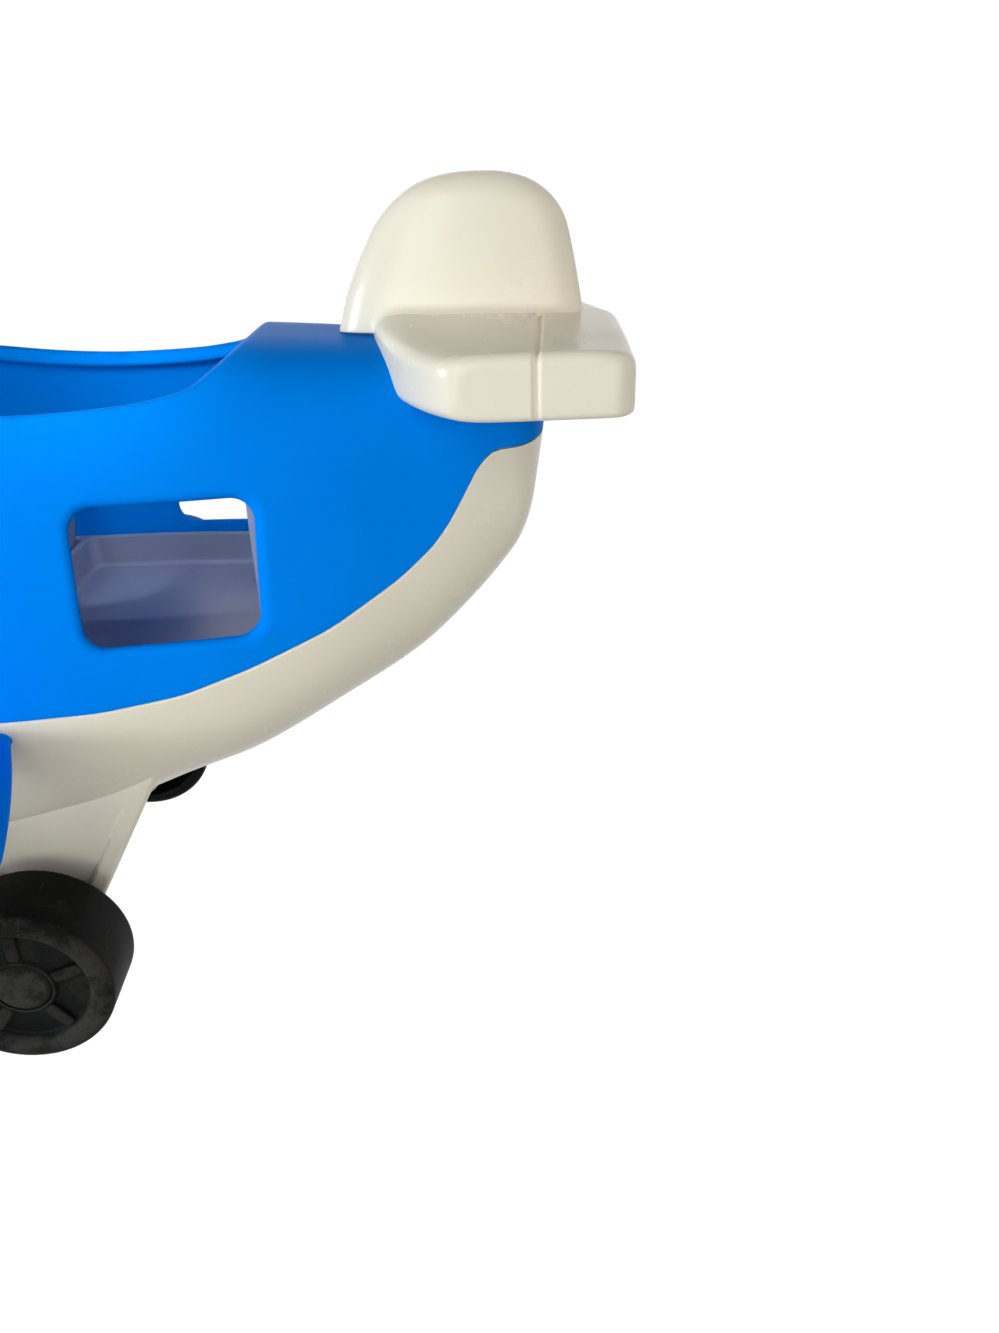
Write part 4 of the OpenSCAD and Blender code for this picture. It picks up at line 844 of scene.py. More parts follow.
def buildForkArm():
    # rounded bar that narrows downwards to a round foot about the nose axle: squared-off ellipses stacked upwards
    top = float(lowZ(fork["x"])) + fork["into"]
    z = np.concatenate([fork["axleZ"] - fork["foot"] * np.cos(np.linspace(0, np.pi / 2, 16)),
                        np.linspace(fork["axleZ"] + 1, top, 30)])
    share = np.clip((z - fork["axleZ"]) / (top - fork["axleZ"]), 0, 1)
    foot = np.sqrt(np.clip(fork["foot"] ** 2 - (fork["axleZ"] - z) ** 2, 1e-4, None))
    rear = np.where(z < fork["axleZ"], foot, fork["foot"] + fork["rearSpread"] * share)
    front = np.where(z < fork["axleZ"], foot, fork["foot"] + fork["frontSpread"] * share)
    a = np.linspace(0, 2 * np.pi, 72, endpoint=False)
    cx, cy = signedPower(np.cos(a), 0.28), signedPower(np.sin(a), 0.34)
    px = fork["x"] + np.where(cx > 0, front[:, None], rear[:, None]) * cx
    py = fork["inner"] + fork["thick"] / 2 + fork["thick"] / 2 * cy + 0 * px
    ring = np.stack([px, py, np.repeat(z[:, None], len(a), 1)], -1)
    boss = turnedShape(fork["boss"], (fork["x"], 0, fork["axleZ"]), (0, 1, 0), 48)
    return joinShapes([loftShape(ring), boss])


legShape, armShape = buildLeg(), buildForkArm()
addPiece("main_legs", *joinShapes([legShape, mirrored(legShape)]), "white", "plane", "white_shell", sharp=44)
addPiece("nose_fork", *joinShapes([armShape, mirrored(armShape)]), "white", "plane", "white_shell", sharp=44)


noseCap = {"gap": 0.3, "edge": 0.5, "backWidth": 0.88, "backHeight": 0.9}


def buildNoseCap():
    # the fuselage's own section carried on to the tip, with a rounded edge at the joint and a smaller rear face
    start = hull["noseJoint"] + noseCap["gap"]
    s = np.concatenate([[0, 0.004, 0.009, 0.016], np.sin(np.linspace(0.035, np.pi / 2, 60))])
    x = start + (hull["noseTip"] - start) * s
    a = np.linspace(0, 2 * np.pi, 180, endpoint=False)
    stations = np.repeat(x[:, None], len(a), 1)
    skin = hullPoint(stations, a[None, :] + 0 * stations, rollOff(stations - start, noseCap["edge"]))
    skin[..., 0] = stations
    back = skin[0] * np.array([1, noseCap["backWidth"], 1])
    back[:, 2] = middleZ(start) + (skin[0, :, 2] - middleZ(start)) * noseCap["backHeight"]
    return loftShape(np.concatenate([back[None], skin]))


addPiece("nose_cap_moulding", *buildNoseCap(), "white", "plane", "white_shell", ("nose_cap",))
print("legs and nose made")


# tail unit: the tailplane's edges lie front and back behind the origin; elevator: the groove's place before the back
tail = {"front": 116.5, "back": 178.0, "span": 104.0, "thick": 14.0, "rise": 5.8, "drop": 2.8, "dropRun": 3.4,
        "seat": 11.9, "leadSlope": 0.1, "leadSweep": 15.0, "leadRun": 45.0, "trailSlope": 0.09, "trailRound": 5.0,
        "dish": 0.9, "elevator": 25.8, "sweep": 6.0, "groove": 0.75, "grooveHalf": 0.95, "topEdge": 2.6,
        "lowEdge": 1.8, "power": 5.0, "rearPower": 14.0}
tail["z"] = float(highZ(-tail["front"])) - tail["seat"]
tail["top"] = tail["z"] + tail["thick"] + tail["rise"]
# front and back: share of the fin's height, distance behind the tailplane's front
fin = {"height": 27.8, "thick": 17.0, "taper": 3.0, "seat": 0.15, "arch": 110.0, "archTop": 9.0, "leadRound": 13.0,
       "trailRound": 12.0, "topRound": 6.5, "footRound": 0.6, "flare": 2.4, "power": 2.3,
       "front": [[0, -8.8], [0.3, -5.6], [0.62, -0.3], [0.8, 2.5], [1, 5]],
       "back": [[0, 53.3], [0.5, 50.4], [1, 47.1]]}


def tailPlan(y):
    # front edge, rear edge, groove and thickness at a distance from the middle; the front corners are elliptic
    out = np.abs(y) / tail["span"] * 2
    d = tail["span"] / 2 - np.abs(y)
    corner = 1 - np.sqrt(1 - np.maximum(0, 1 - d / tail["leadRun"]) ** 2)
    lead = -tail["front"] - tail["leadSlope"] * np.abs(y) - tail["leadSweep"] * corner
    trail = -tail["back"] + tail["trailSlope"] * np.abs(y) + rollOff(d, tail["trailRound"])
    groove = -tail["back"] + tail["elevator"] - tail["sweep"] * (1 - out)
    thick = tail["thick"] + tail["rise"] * np.maximum(1 - out, 0) ** 1.5
    return lead, trail, groove, thick


def tailTop(x, y):
    # the top sinks a little between its edges, and falls away behind the fin
    lead, trail, _groove, thick = tailPlan(y)
    d = tail["span"] / 2 - np.abs(y)
    share = np.clip((x * 2 - lead - trail) / (lead - trail), -1, 1)
    bulge = (1 - np.abs(share) ** tail["power"]) ** (1 / tail["power"])
    dish = tail["dish"] * smoothRise(1 - np.abs(share), 0.06, 0.5) * smoothRise(d, 1.5, 14)
    nearFin = np.maximum(0, 1 - np.abs(y) / tail["span"] * tail["dropRun"])
    fall = tail["drop"] * nearFin ** 1.3 * smoothRise(0.2 - share, 0, 1)
    return tail["z"] + thick / 2 + (thick / 2 - rollOff(d, tail["topEdge"])) * bulge - dish - fall


def buildTailplane():
    # sections with crisp upper edges and softer lower ones: |x|^p + |z|^p = 1, p greater behind. The elevator's
    # groove turns over the edge and runs down the tips.
    half = tail["span"] / 2
    near = np.array([0, 0.1, 0.25, 0.45, 0.7, 1.0, 1.4, 1.9, 2.6, 3.6, 5, 7, 9.5, 12, 15])
    y = np.concatenate([-half + near, np.linspace(-35, 35, 60), half - near[::-1]])[:, None]
    lead, trail, groove, thick = tailPlan(y)
    wide = 2 * tail["grooveHalf"]
    ahead = (1 - np.cos(np.linspace(0, np.pi / 2, 50))) ** 1.25
    behind = (1 - np.cos(np.linspace(0, np.pi / 2, 30))) ** 1.25
    x = np.concatenate([lead - (lead - groove - wide) * ahead, groove + wide * np.linspace(1, -1, 15)[1:-1],
                        trail + (groove - wide - trail) * behind[::-1]], 1)
    share = np.clip((x * 2 - lead - trail) / (lead - trail), -1, 1)
    d = half - np.abs(y)
    power = np.where(share < 0, tail["rearPower"], tail["power"])
    middle = tail["z"] + thick / 2
    bulge = (1 - np.abs(share) ** power) ** (1 / power)
    cut = tail["groove"] * np.clip(1 - ((x - groove) / tail["grooveHalf"]) ** 2, 0, 1)
    tilt, lowTilt = np.clip(1 - d / tail["topEdge"], 0, 1), np.clip(1 - d / tail["lowEdge"], 0, 1)
    topZ = tailTop(x, y) - cut * np.sqrt(1 - tilt ** 2)
    underZ = middle - (thick / 2 - rollOff(d, tail["lowEdge"])) * bulge
    above = np.stack([x, y - np.sign(y) * cut * tilt, topZ], -1)
    under = np.stack([x, y - np.sign(y) * cut * lowTilt, underZ], -1)
    ring = np.concatenate([above, under[:, ::-1]], 1)
    # flat tips: sections that shrink in height to a line
    shares = np.array([0.9, 0.75, 0.6, 0.45, 0.3, 0.15, 0.0])[:, None]
    caps, tipZ = [], tail["z"] + tail["thick"] / 2
    for edge in (ring[0], ring[-1]):
        cap = np.repeat(edge[None], len(shares), 0)
        cap[..., 2] = tipZ + (edge[:, 2] - tipZ) * shares
        caps.append(cap)
    whole = np.concatenate([caps[0][::-1], ring, caps[1]])
    return whole.reshape(-1, 3), [gridFaces(len(whole), whole.shape[1], 0, True)]


def buildFin():
    # upright sections |x|^p + |y|^p = 1 under an arched rim, flared where they meet the tailplane
    foot = float(highZ(-tail["front"] - fin["front"][0][1])) + fin["seat"]
    topZ = tail["top"] + fin["height"]
    z = np.concatenate([[foot, foot + 0.25, foot + 0.7], np.linspace(foot + 1.6, topZ - fin["archTop"], 52),
                        topZ - fin["archTop"] * (1 - np.sin(np.linspace(0.06, np.pi / 2, 30)))])[:, None]
    s, d = (z - foot) / (topZ - foot), topZ - z
    lead = -tail["front"] - through(fin["front"], s, 1) - rollOff(d, fin["leadRound"])
    trail = -tail["front"] - through(fin["back"], s, 1) + rollOff(d, fin["trailRound"])
    # the arch limits half the length to sqrt(arch d)
    reach = (((lead - trail) / 2) ** -4 + (fin["arch"] * (d + 0.12)) ** -2) ** -0.25
    a = np.linspace(0, 2 * np.pi, 150, endpoint=False)
    x = (lead + trail) / 2 + reach * signedPower(np.cos(a), 2 / fin["power"])
    # the flare follows the tailplane's top beside the fin, and stops at its front
    onTail = 1 - smoothRise(x, -tail["front"] - 4, -tail["front"] + 6)
    flare = rollOff(z - tailTop(x, fin["thick"] / 2), fin["flare"]) * onTail
    half = (fin["thick"] - fin["taper"] * s) / 2 - rollOff(d, fin["topRound"]) + flare
    side = signedPower(np.sin(a), 2 / fin["power"])
    y = half * side - np.sign(side) * np.minimum(rollOff(z - foot, fin["footRound"]), np.abs(half * side))
    return loftShape(np.stack([x, y, z + 0 * x], -1))


addPiece("tail_unit_moulding", *joinShapes([buildTailplane(), buildFin()]), "white", "plane", "white_shell",
         ("tail_unit",), sharp=48)
print("tail unit made")


# tongue: from and to along X, Y and Z
wing = {"span": 230.0, "rootY": 51.0, "front": 62.0, "back": -27.3, "sweep": 20.1, "bow": 0.34, "tipChord": 57.0,
        "thick": 12.0, "tipThick": 8.0, "tipRound": 18.0, "tipEdge": 3.0, "z": 83.6, "rise": 1.0, "power": 2.3,
        "slip": 0.3, "rootHeight": 0.93, "tongue": ((10, 54), (26, 55), (80.6, 86.6))}


def wingEdges(s):
    # rear edge, front edge and half thickness at a share of the way out, rounded off at the tip
    d = (wing["span"] / 2 - wing["rootY"]) * (1 - s)
    swept = (1 + wing["bow"]) * s - wing["bow"] * s * s
    trail = wing["back"] - wing["sweep"] * swept + rollOff(d, wing["tipRound"])
    tipFront = wing["back"] - wing["sweep"] + wing["tipChord"]
    lead = wing["front"] + (tipFront - wing["front"]) * s - rollOff(d, wing["tipRound"])
    half = (wing["thick"] + (wing["tipThick"] - wing["thick"]) * s) / 2 - rollOff(d, wing["tipEdge"])
    return trail, lead, np.maximum(half, 0.02)


def buildWing():
    # superellipse sections: (x/a)^p + (z/h)^p = 1. The root section hugs the fuselage, and a tongue goes into it.
    s = np.concatenate([[0, 0.006], np.linspace(0.02, 0.6, 34), 0.6 + 0.4 * np.sin(np.linspace(0.05, np.pi / 2, 44))])
    trail, lead, half = wingEdges(s)
    a = np.linspace(0, 2 * np.pi, 132, endpoint=False)
    c, n = signedPower(np.cos(a), 2 / wing["power"]), signedPower(np.sin(a), 2 / wing["power"])
    x = ((lead + trail) / 2)[:, None] + ((lead - trail) / 2)[:, None] * c
    y = (wing["rootY"] + (wing["span"] / 2 - wing["rootY"]) * s)[:, None] + 0 * x
    z = (wing["z"] + wing["rise"] * s)[:, None] + half[:, None] * n
    y[0] = sideY(x[0], z[0]) + wing["slip"]
    z[0] = wing["z"] + (z[0] - wing["z"]) * wing["rootHeight"]
    xEnds, yEnds, zEnds = wing["tongue"]
    tongue = [(x0, y0, z0) for x0 in xEnds for y0 in yEnds for z0 in zEnds]
    box = np.array([[0, 1, 3, 2], [4, 6, 7, 5], [0, 4, 5, 1], [2, 3, 7, 6], [0, 2, 6, 4], [1, 5, 7, 3]])
    return joinShapes([loftShape(np.stack([x, y, z], -1)), (np.array(tongue, float), [box])])


# web: the cross wall that carries the fan in front and the exhaust cone behind
engine = {"y": 88.0, "z": 59.5, "r": 16.5, "front": 56.0, "length": 56.0, "bore": 14.3, "web": 20.0, "webThick": 2.0,
          "pylonTop": 82.0, "pylonStart": 4.0, "pylonLength": 28.0, "pylonWidth": 8.0, "pylonFlare": 1.6}
engineAxis = (0.0, engine["y"], engine["z"])
engineWeb = engine["front"] - engine["web"]


def aboutEngine(profile, segments=128):
    # profile of (place along X, radius) turned about the engine's axis
    return turnedShape(profile, engineAxis, (1.0, 0.0, 0.0), segments)


def buildNacelle():
    # the casing's wall as one turned profile with rolled lips, and the pylon with rounded corners
    f, b, r, n = engine["front"], engine["front"] - engine["length"], engine["r"], engine["bore"]
    web, rear = engineWeb, engineWeb - engine["webThick"]
    corners = [[rear, 0.02], [web, 0.02], [web, n], [f - 3, n], [f - 1.2, n + 0.25], [f - 0.1, n + 1.1],
               [f - 0.25, r - 0.7], [f - 2.4, r - 0.1], [f - 12, r], [f - 26, r], [b + 16, r - 0.7], [b + 5, r - 2.4],
               [b, r - 3.6], [b, r - 5.4], [b + 10, n - 1.6], [rear, n - 1.6]]
    profile = softened(corners, [0, 0, 0.6, 3, 1, 0.9, 0.9, 3, 9, 9, 8, 5, 0.8, 0.8, 6, 0.6], 5)
    # a raised band runs round the casing where its cowl would open
    band = softened([[f - 21, r - 0.8], [f - 21, r], [f - 19.4, r], [f - 19.4, r - 0.8]], 0.25, 3)
    crown = engine["z"] + r
    z = np.concatenate([[crown - 3, crown - 0.6], np.linspace(crown, engine["pylonTop"], 8)])
    a = np.linspace(0, 2 * np.pi, 64, endpoint=False)
    # the pylon widens where it meets the casing
    flare = engine["pylonFlare"] * np.clip(1 - (z[:, None] - engine["z"] - r + 0.6) / 2.4, 0, 1) ** 2
    halfLength, halfAcross = engine["pylonLength"] / 2, engine["pylonWidth"] / 2
    px = b + engine["pylonStart"] + halfLength + (halfLength + flare * 0.6) * signedPower(np.cos(a), 0.3)
    py = engine["y"] + (halfAcross + flare) * signedPower(np.sin(a), 0.42)
    pylon = loftShape(np.stack([px, py, np.repeat(z[:, None], len(a), 1)], -1))
    return joinShapes([aboutEngine(profile), aboutEngine(np.vstack([band, band[:1]])), pylon])


# twist, chord and radius of a blade: at its root and at its tip; the tip's radius is counted from the fan's rim
fan = {"blades": 12, "slip": 0.1, "twist": (52, 24), "chord": (4.6, 4.0), "root": 3.8, "tip": -0.9, "bow": 0.12,
       "bladeX": 4.6, "bladeFlat": 0.9}


def buildFan():
    # spinner, rim and blades; a blade is an aerofoil lofted outwards while it twists from root to tip
    web, ring = engineWeb, engine["bore"] - fan["slip"]
    hub = softened([[web, 0.02], [web, ring], [web + 6, ring], [web + 6, ring - 1.4], [web + 2, ring - 1.4],
                    [web + 2, 4.5], [web + 5.5, 4.4], [web + 8.5, 3.2], [web + 10, 1.4], [web + 10.4, 0.02]],
                   [0, 0.2, 0.5, 0.5, 0.4, 0.5, 2, 2.5, 1.5, 0], 5)
    shapes = [aboutEngine(hub, 96)]
    share = np.linspace(0, 1, 14)
    radius = fan["root"] + share * (ring + fan["tip"] - fan["root"])
    twist = np.radians(fan["twist"][0] + (fan["twist"][1] - fan["twist"][0]) * share)
    chord = fan["chord"][0] + (fan["chord"][1] - fan["chord"][0]) * share
    a = np.linspace(0, 2 * np.pi, 28, endpoint=False)
    u, v = np.cos(a) * 0.5, np.sin(a) * (0.16 - 0.10 * np.cos(a))
    bow = fan["bow"] * (1 - (2 * u) ** 2)
    along = chord[:, None] * (u * np.cos(twist)[:, None] + (v + bow) * np.sin(twist)[:, None])
    across = chord[:, None] * (-u * np.sin(twist)[:, None] + (v + bow) * np.cos(twist)[:, None])
    for i in range(fan["blades"]):
        t = 2 * np.pi * i / fan["blades"]
        y = radius[:, None] * math.cos(t) - across * math.sin(t)
        z = radius[:, None] * math.sin(t) + across * math.cos(t)
        x = web + fan["bladeX"] + along * fan["bladeFlat"]
        shapes.append(loftShape(np.stack([x, engine["y"] + y, engine["z"] + z], -1)))
    return joinShapes(shapes)


def buildExhaust():
    # a flange on the web's rear face and a cone that stands out behind the casing
    b, web, r = engine["front"] - engine["length"], engineWeb - engine["webThick"], engine["bore"] - 1.7
    corners = [[web, 0.02], [web, r], [web - 3, r], [web - 3, 8.5], [b + 12, 8.2], [b + 3, 6.6], [b - 5, 3.4],
               [b - 8, 1.2], [b - 8.4, 0.02]]
    return aboutEngine(softened(corners, [0, 0.4, 0.5, 0.8, 8, 9, 6, 0.9, 0], 6), 96)


for side, turn in bothSides:
    addPiece("wing_moulding_" + side, *turn(buildWing()), "blue", "plane", "blue_shell", ("wing_" + side,), sharp=44)
    addPiece("nacelle_moulding_" + side, *turn(buildNacelle()), "white", "plane", "white_shell",
             ("nacelle_" + side,), sharp=40)
    addPiece("fan_moulding_" + side, *turn(buildFan()), "dark", "plane", "dark_grey", ("intake_fan_" + side,), sharp=40)
    addPiece("exhaust_moulding_" + side, *turn(buildExhaust()), "dark", "plane", "dark_grey", ("exhaust_cone_" + side,))
print("wings and engines made")

# wheels, caps and axles; a reach is half an axle's length
wheel = {"r": 22.5, "width": 20.7, "y": 47.6, "x": -21.4, "recess": 2.6, "bars": 5, "barTurn": 18, "barHalf": 1.6,
         "capR": 7.0, "capT": 1.8, "axleR": 2.0, "axleReach": 63.9, "noseX": 118.0, "noseR": 17.0, "noseW": 15.0,
         "noseBore": 2.08, "noseReach": 12.3}


def buildMainWheel():
    # tread, shoulders, sunken face with a step and a hollow back as one turned profile, and raised bars on the face
    y0, r = wheel["y"], wheel["r"]
    y1 = y0 + wheel["width"]
    face, cap = y1 - wheel["recess"], wheel["capR"]
    bore, well = wheel["axleR"], face - wheel["capT"]
    corners = [[y0, bore], [y0, 7], [y0 + 13, 7.5], [y0 + 13, r - 4.5], [y0, r - 4], [y0, r], [y1, r], [y1, r - 4.6],
               [y1 - 0.8, r - 5.6], [face, r - 6.6], [face, cap + 1.6], [face + 1.2, cap + 0.9],
               [face + 1.2, cap + 0.3], [well, cap + 0.3], [well, bore]]
    profile = softened(corners, [0.3, 0.8, 1, 1, 0.6, 2.5, 3.0, 0.7, 0.8, 0.9, 0.6, 0.45, 0.2, 0.1, 0.1], 7)
    shapes = [turnedShape(np.vstack([profile, profile[:1]]), (wheel["x"], 0, r), (0, 1, 0), 160)]
    # a bar's sections shrink towards its top, which rounds its edge
    a = np.linspace(0, 2 * np.pi, 40, endpoint=False)
    inner, outer = cap + 1.3, r - 6.3
    heights = np.array([-0.3, 0.7, 0.95, 1.08, 1.1]) + face
    shrink = np.array([0, 0, 0.1, 0.3, 0.6])[:, None]
    u = (inner + outer) / 2 + ((outer - inner) / 2 - shrink) * signedPower(np.cos(a), 0.3)
    v = (wheel["barHalf"] - shrink) * signedPower(np.sin(a), 0.4)
    for i in range(wheel["bars"]):
        t = np.radians(360 / wheel["bars"] * i + wheel["barTurn"])
        px = wheel["x"] + u * math.cos(t) - v * math.sin(t)
        pz = r + u * math.sin(t) + v * math.cos(t)
        shapes.append(loftShape(np.stack([px, np.repeat(heights[:, None], len(a), 1), pz], -1)))
    return joinShapes(shapes)


def buildHubCap():
    # a low dome, turned
    face = wheel["y"] + wheel["width"] - wheel["recess"]
    cap, back = wheel["capR"], face - wheel["capT"]
    corners = [[back, 0.02], [back, cap], [face + 0.8, cap], [face + 1.6, cap - 1], [face + 2, cap - 3],
               [face + 2.2, 0.02]]
    return turnedShape(softened(corners, [0, 0.1, 0.4, 0.7, 3, 0], 6), (wheel["x"], 0, wheel["r"]), (0, 1, 0), 96)


def buildNoseWheel():
    # the same on both faces: hub, sunken ring and tread as one turned profile
    h, r, bore = wheel["noseW"] / 2, wheel["noseR"], wheel["noseBore"]
    corners = [[-h, bore], [-h, 5], [-h + 2, 6], [-h + 2, r - 5], [-h, r - 4], [-h, r], [h, r], [h, r - 4],
               [h - 2, r - 5], [h - 2, 6], [h, 5], [h, bore]]
    profile = softened(corners, [0.2, 0.5, 0.8, 0.8, 0.6, 2.5, 2.5, 0.6, 0.8, 0.8, 0.5, 0.2], 7)
    return turnedShape(np.vstack([profile, profile[:1]]), (wheel["noseX"], 0, r), (0, 1, 0), 140)


def buildAxle(x, z, reach):
    # a round rod across the plane, turned, with rounded ends
    r = wheel["axleR"]
    corners = [[-reach, 0.02], [-reach, r], [reach, r], [reach, 0.02]]
    return turnedShape(softened(corners, [0, 0.4, 0.4, 0], 4), (x, 0, z), (0, 1, 0), 64)


for side, turn in bothSides:
    addPiece("wheel_moulding_" + side, *turn(buildMainWheel()), "wheel", "main_wheels", "black_wheel",
             ("main_wheel_" + side,), sharp=44)
    addPiece("cap_moulding_" + side, *turn(buildHubCap()), "wheel", "main_wheels", "black_wheel", ("hub_cap_" + side,))
addPiece("nose_wheel_moulding", *buildNoseWheel(), "wheel", "nose_wheel_set", "black_wheel", ("nose_wheel",), sharp=44)
addPiece("main_axle_rod", *buildAxle(wheel["x"], wheel["r"], wheel["axleReach"]), "steel", "main_wheels", "steel",
         ("main_axle",))
addPiece("nose_axle_rod", *buildAxle(wheel["noseX"], wheel["noseR"], wheel["noseReach"]), "steel", "plane", "steel",
         ("nose_axle",))


screw = {"headR": 2.9, "headHeight": 2.2, "dome": 0.55, "slotHalf": 0.62, "slotReach": 1.9, "slotDeep": 1.1,
         "shankR": 1.5, "threadDeep": 0.16, "pitch": 1.1, "tipR": 0.9, "caseReach": 17.0, "wingReach": 16.0}


def buildScrew(x, y, z, reach):
    # pan head with a cross recess: the head's face sinks along two crossed slots; then a shank with thread rings,
    # its radius falling and rising as a cosine with each pitch
    s = np.linspace(0, 1, 13)
    a = np.linspace(0, 2 * np.pi, 96, endpoint=False)
    radius = screw["headR"] * s
    face = z - screw["headHeight"] + screw["dome"] * (radius / screw["headR"]) ** 4
    px, py = radius[:, None] * np.cos(a), radius[:, None] * np.sin(a)

    def slotAlong(across, along):
        return (smoothRise(screw["slotHalf"] - np.abs(across), 0, 0.25)
                * smoothRise(screw["slotReach"] - np.abs(along), 0, 0.5))

    slot = np.maximum(slotAlong(px, py), slotAlong(py, px))
    head = np.stack([px, py, face[:, None] + screw["slotDeep"] * slot], -1)
    head[0] += np.stack([0.02 * np.cos(a), 0.02 * np.sin(a), 0 * a], -1)
    turns = np.linspace(0, reach, int(reach / 0.28))
    shank = screw["shankR"] - screw["threadDeep"] * (0.5 - 0.5 * np.cos(turns * 2 * np.pi / screw["pitch"]))
    profile = np.concatenate([[[z - 1.6, screw["headR"]], [z - 0.3, screw["headR"]], [z, 2.7], [z, screw["shankR"]]],
                              np.stack([z + turns, shank], -1), [[z + reach, screw["tipR"]], [z + reach, 0.02]]])
    spoke = np.stack([np.cos(a), np.sin(a), 0 * a], -1)
    body = profile[:, 1, None, None] * spoke + np.array([0, 0, 1.0]) * profile[:, 0, None, None]
    return loftShape(np.concatenate([head, body]) + np.array([x, y, 0.0]))


def screwSet(kind):
    # all screws of a kind, on both sides
    return joinShapes([buildScrew(x, side * y, seat, screw[kind + "Reach"])
                       for side in (-1, 1) for x, y, seat, _top in screwPlaces(kind)])


addPiece("case_screw_set", *screwSet("case"), "steel", "plane", "steel", ("case_screws",))
addPiece("wing_screw_set", *screwSet("wing"), "steel", "plane", "steel", ("wing_screws",))
print("wheels and screws made")


# from, to and cross: the tray's ends and its cross wall along X
cabin = {"floorZ": 92.0, "plate": 2.2, "rim": 10.0, "from": -88.0, "to": 108.0, "inset": 2.9, "wallT": 2.0,
         "cross": (-20.2, -18.2), "roomReach": 34.0, "edge": 0.8, "corner": 3.4, "outsideRound": 0.6}
seats = {"pilotX": 46.0, "pilotW": 40.0, "benchX": -16.0, "benchW": 84.0, "cushion": 12.0, "back": 20.0, "length": 30.0,
         "lean": 4.0, "wellR": 10.5, "wellD": 4.0, "wellShift": 1.6, "benchWells": [-21.0, 21.0]}
rimTop, underside = cabin["floorZ"] + cabin["rim"], cabin["floorZ"] - cabin["plate"]


def floorHalf(x):
    # half width of the tray: the fuselage's at the height of its underside, less the shell
    return sideY(x, underside, cabin["inset"])


def floorPlace(x, t):
    # point of the tray's top at a place along it and a share of the half width
    return np.stack([x, t * floorHalf(x), 0 * x + rimTop], -1)


def floorField(x, t):
    # distance outside the two rooms of the tray, whose corners are rounded
    p = floorPlace(x, t)
    reach = floorHalf(x) - cabin["wallT"] - np.abs(p[..., 1])
    field = np.full(np.shape(x), 1e3)
    r = cabin["corner"]
    rooms = (cabin["from"] + cabin["wallT"], cabin["cross"][0]), (cabin["cross"][1], cabin["to"] - cabin["wallT"])
    for low, high in rooms:
        ends = np.minimum(x - low, high - x)
        a, b = np.maximum(r - reach, 0), np.maximum(r - ends, 0)
        field = np.minimum(field, np.hypot(a, b) - np.minimum(np.maximum(reach - r, 0), np.maximum(ends - r, 0)) - r)
    return field


edgeShares = [0.7, 0.45, 0.22, 0.07, 0.0]      # rows that close in on the edge of a room or well


def buildFloor():
    # a tray with rounded rim and rooms, closed below, and the cabin's back wall
    x = shellStations(cabin["from"], cabin["to"], [(cabin["from"], 2), (-20, 2.5), (cabin["to"], 2)], 2.0, 0.35)
    edge = np.array([0, 0.004, 0.01, 0.018, 0.028, 0.04, 0.056, 0.075])
    t = np.concatenate([-1 + edge, np.linspace(-0.9, 0.9, 50), 1 - edge[::-1]])
    stations, across = np.meshgrid(x, t, indexing="ij")
    xs, ts, _tag, d, groups, border = cutAway(floorField, floorPlace, stations, across, 0 * stations, cabin["edge"],
                                              edgeShares, (0.05, 0.001))
    top = floorPlace(xs, ts)
    outside = np.minimum((1 - np.abs(ts)) * floorHalf(xs), np.minimum(xs - cabin["from"], cabin["to"] - xs))
    top[:, 2] -= rollOff(d, cabin["edge"]) + rollOff(outside, cabin["outsideRound"])
    outline = openEdges(groups)
    outline = outline[~np.isin(outline[:, 0] * len(top) + outline[:, 1], border[:, 0] * len(top) + border[:, 1])]
    rooms = [[cabin["cross"][0] - cabin["roomReach"], 0, rimTop, 0, 0, -1.0],
             [cabin["cross"][1] + cabin["roomReach"], 0, rimTop, 0, 0, -1.0]]
    # down the rooms' walls and round onto their floor: distance inwards, distance down
    deep = cabin["rim"] - cabin["edge"]
    moves = [(0.12, deep - 1.6), (0.22, deep - 1.2), (0.55, deep - 0.5), (1.1, deep - 0.12), (1.8, deep), (3.0, deep)]
    points, groups = sink(top, groups, border, rooms, moves)
    ids = np.unique(outline)
    order = np.full(len(points), -1)
    order[ids] = np.arange(len(ids))
    low = points[ids] * np.array([1, 1, 0]) + np.array([0, 0, underside])
    new = len(points) + np.arange(len(ids))
    a, b = order[outline[:, 0]], order[outline[:, 1]]
    middle = len(points) + len(ids)
    groups = groups + [np.stack([ids[b], ids[a], new[a], new[b]], -1),
                       np.stack([new[b], new[a], np.full(len(a), middle)], -1)]
    points = np.concatenate([points, low, [[(cabin["from"] + cabin["to"]) / 2, 0, underside]]])
    # the back wall follows the fuselage's section
    back = cabin["from"] - cabin["plate"]
    z = np.linspace(underside, float(highZ(back)) - 3.1, 60)
    half = sideY(back, z, cabin["inset"])
    loop = np.concatenate([np.stack([half, z], -1), np.stack([-half, z], -1)[::-1]])
    faces = [np.stack([np.full(len(loop), x), loop[:, 0], loop[:, 1]], -1) for x in (back, cabin["from"] + 0.01)]
    return joinShapes([(points, groups), loftShape(np.array(faces))])


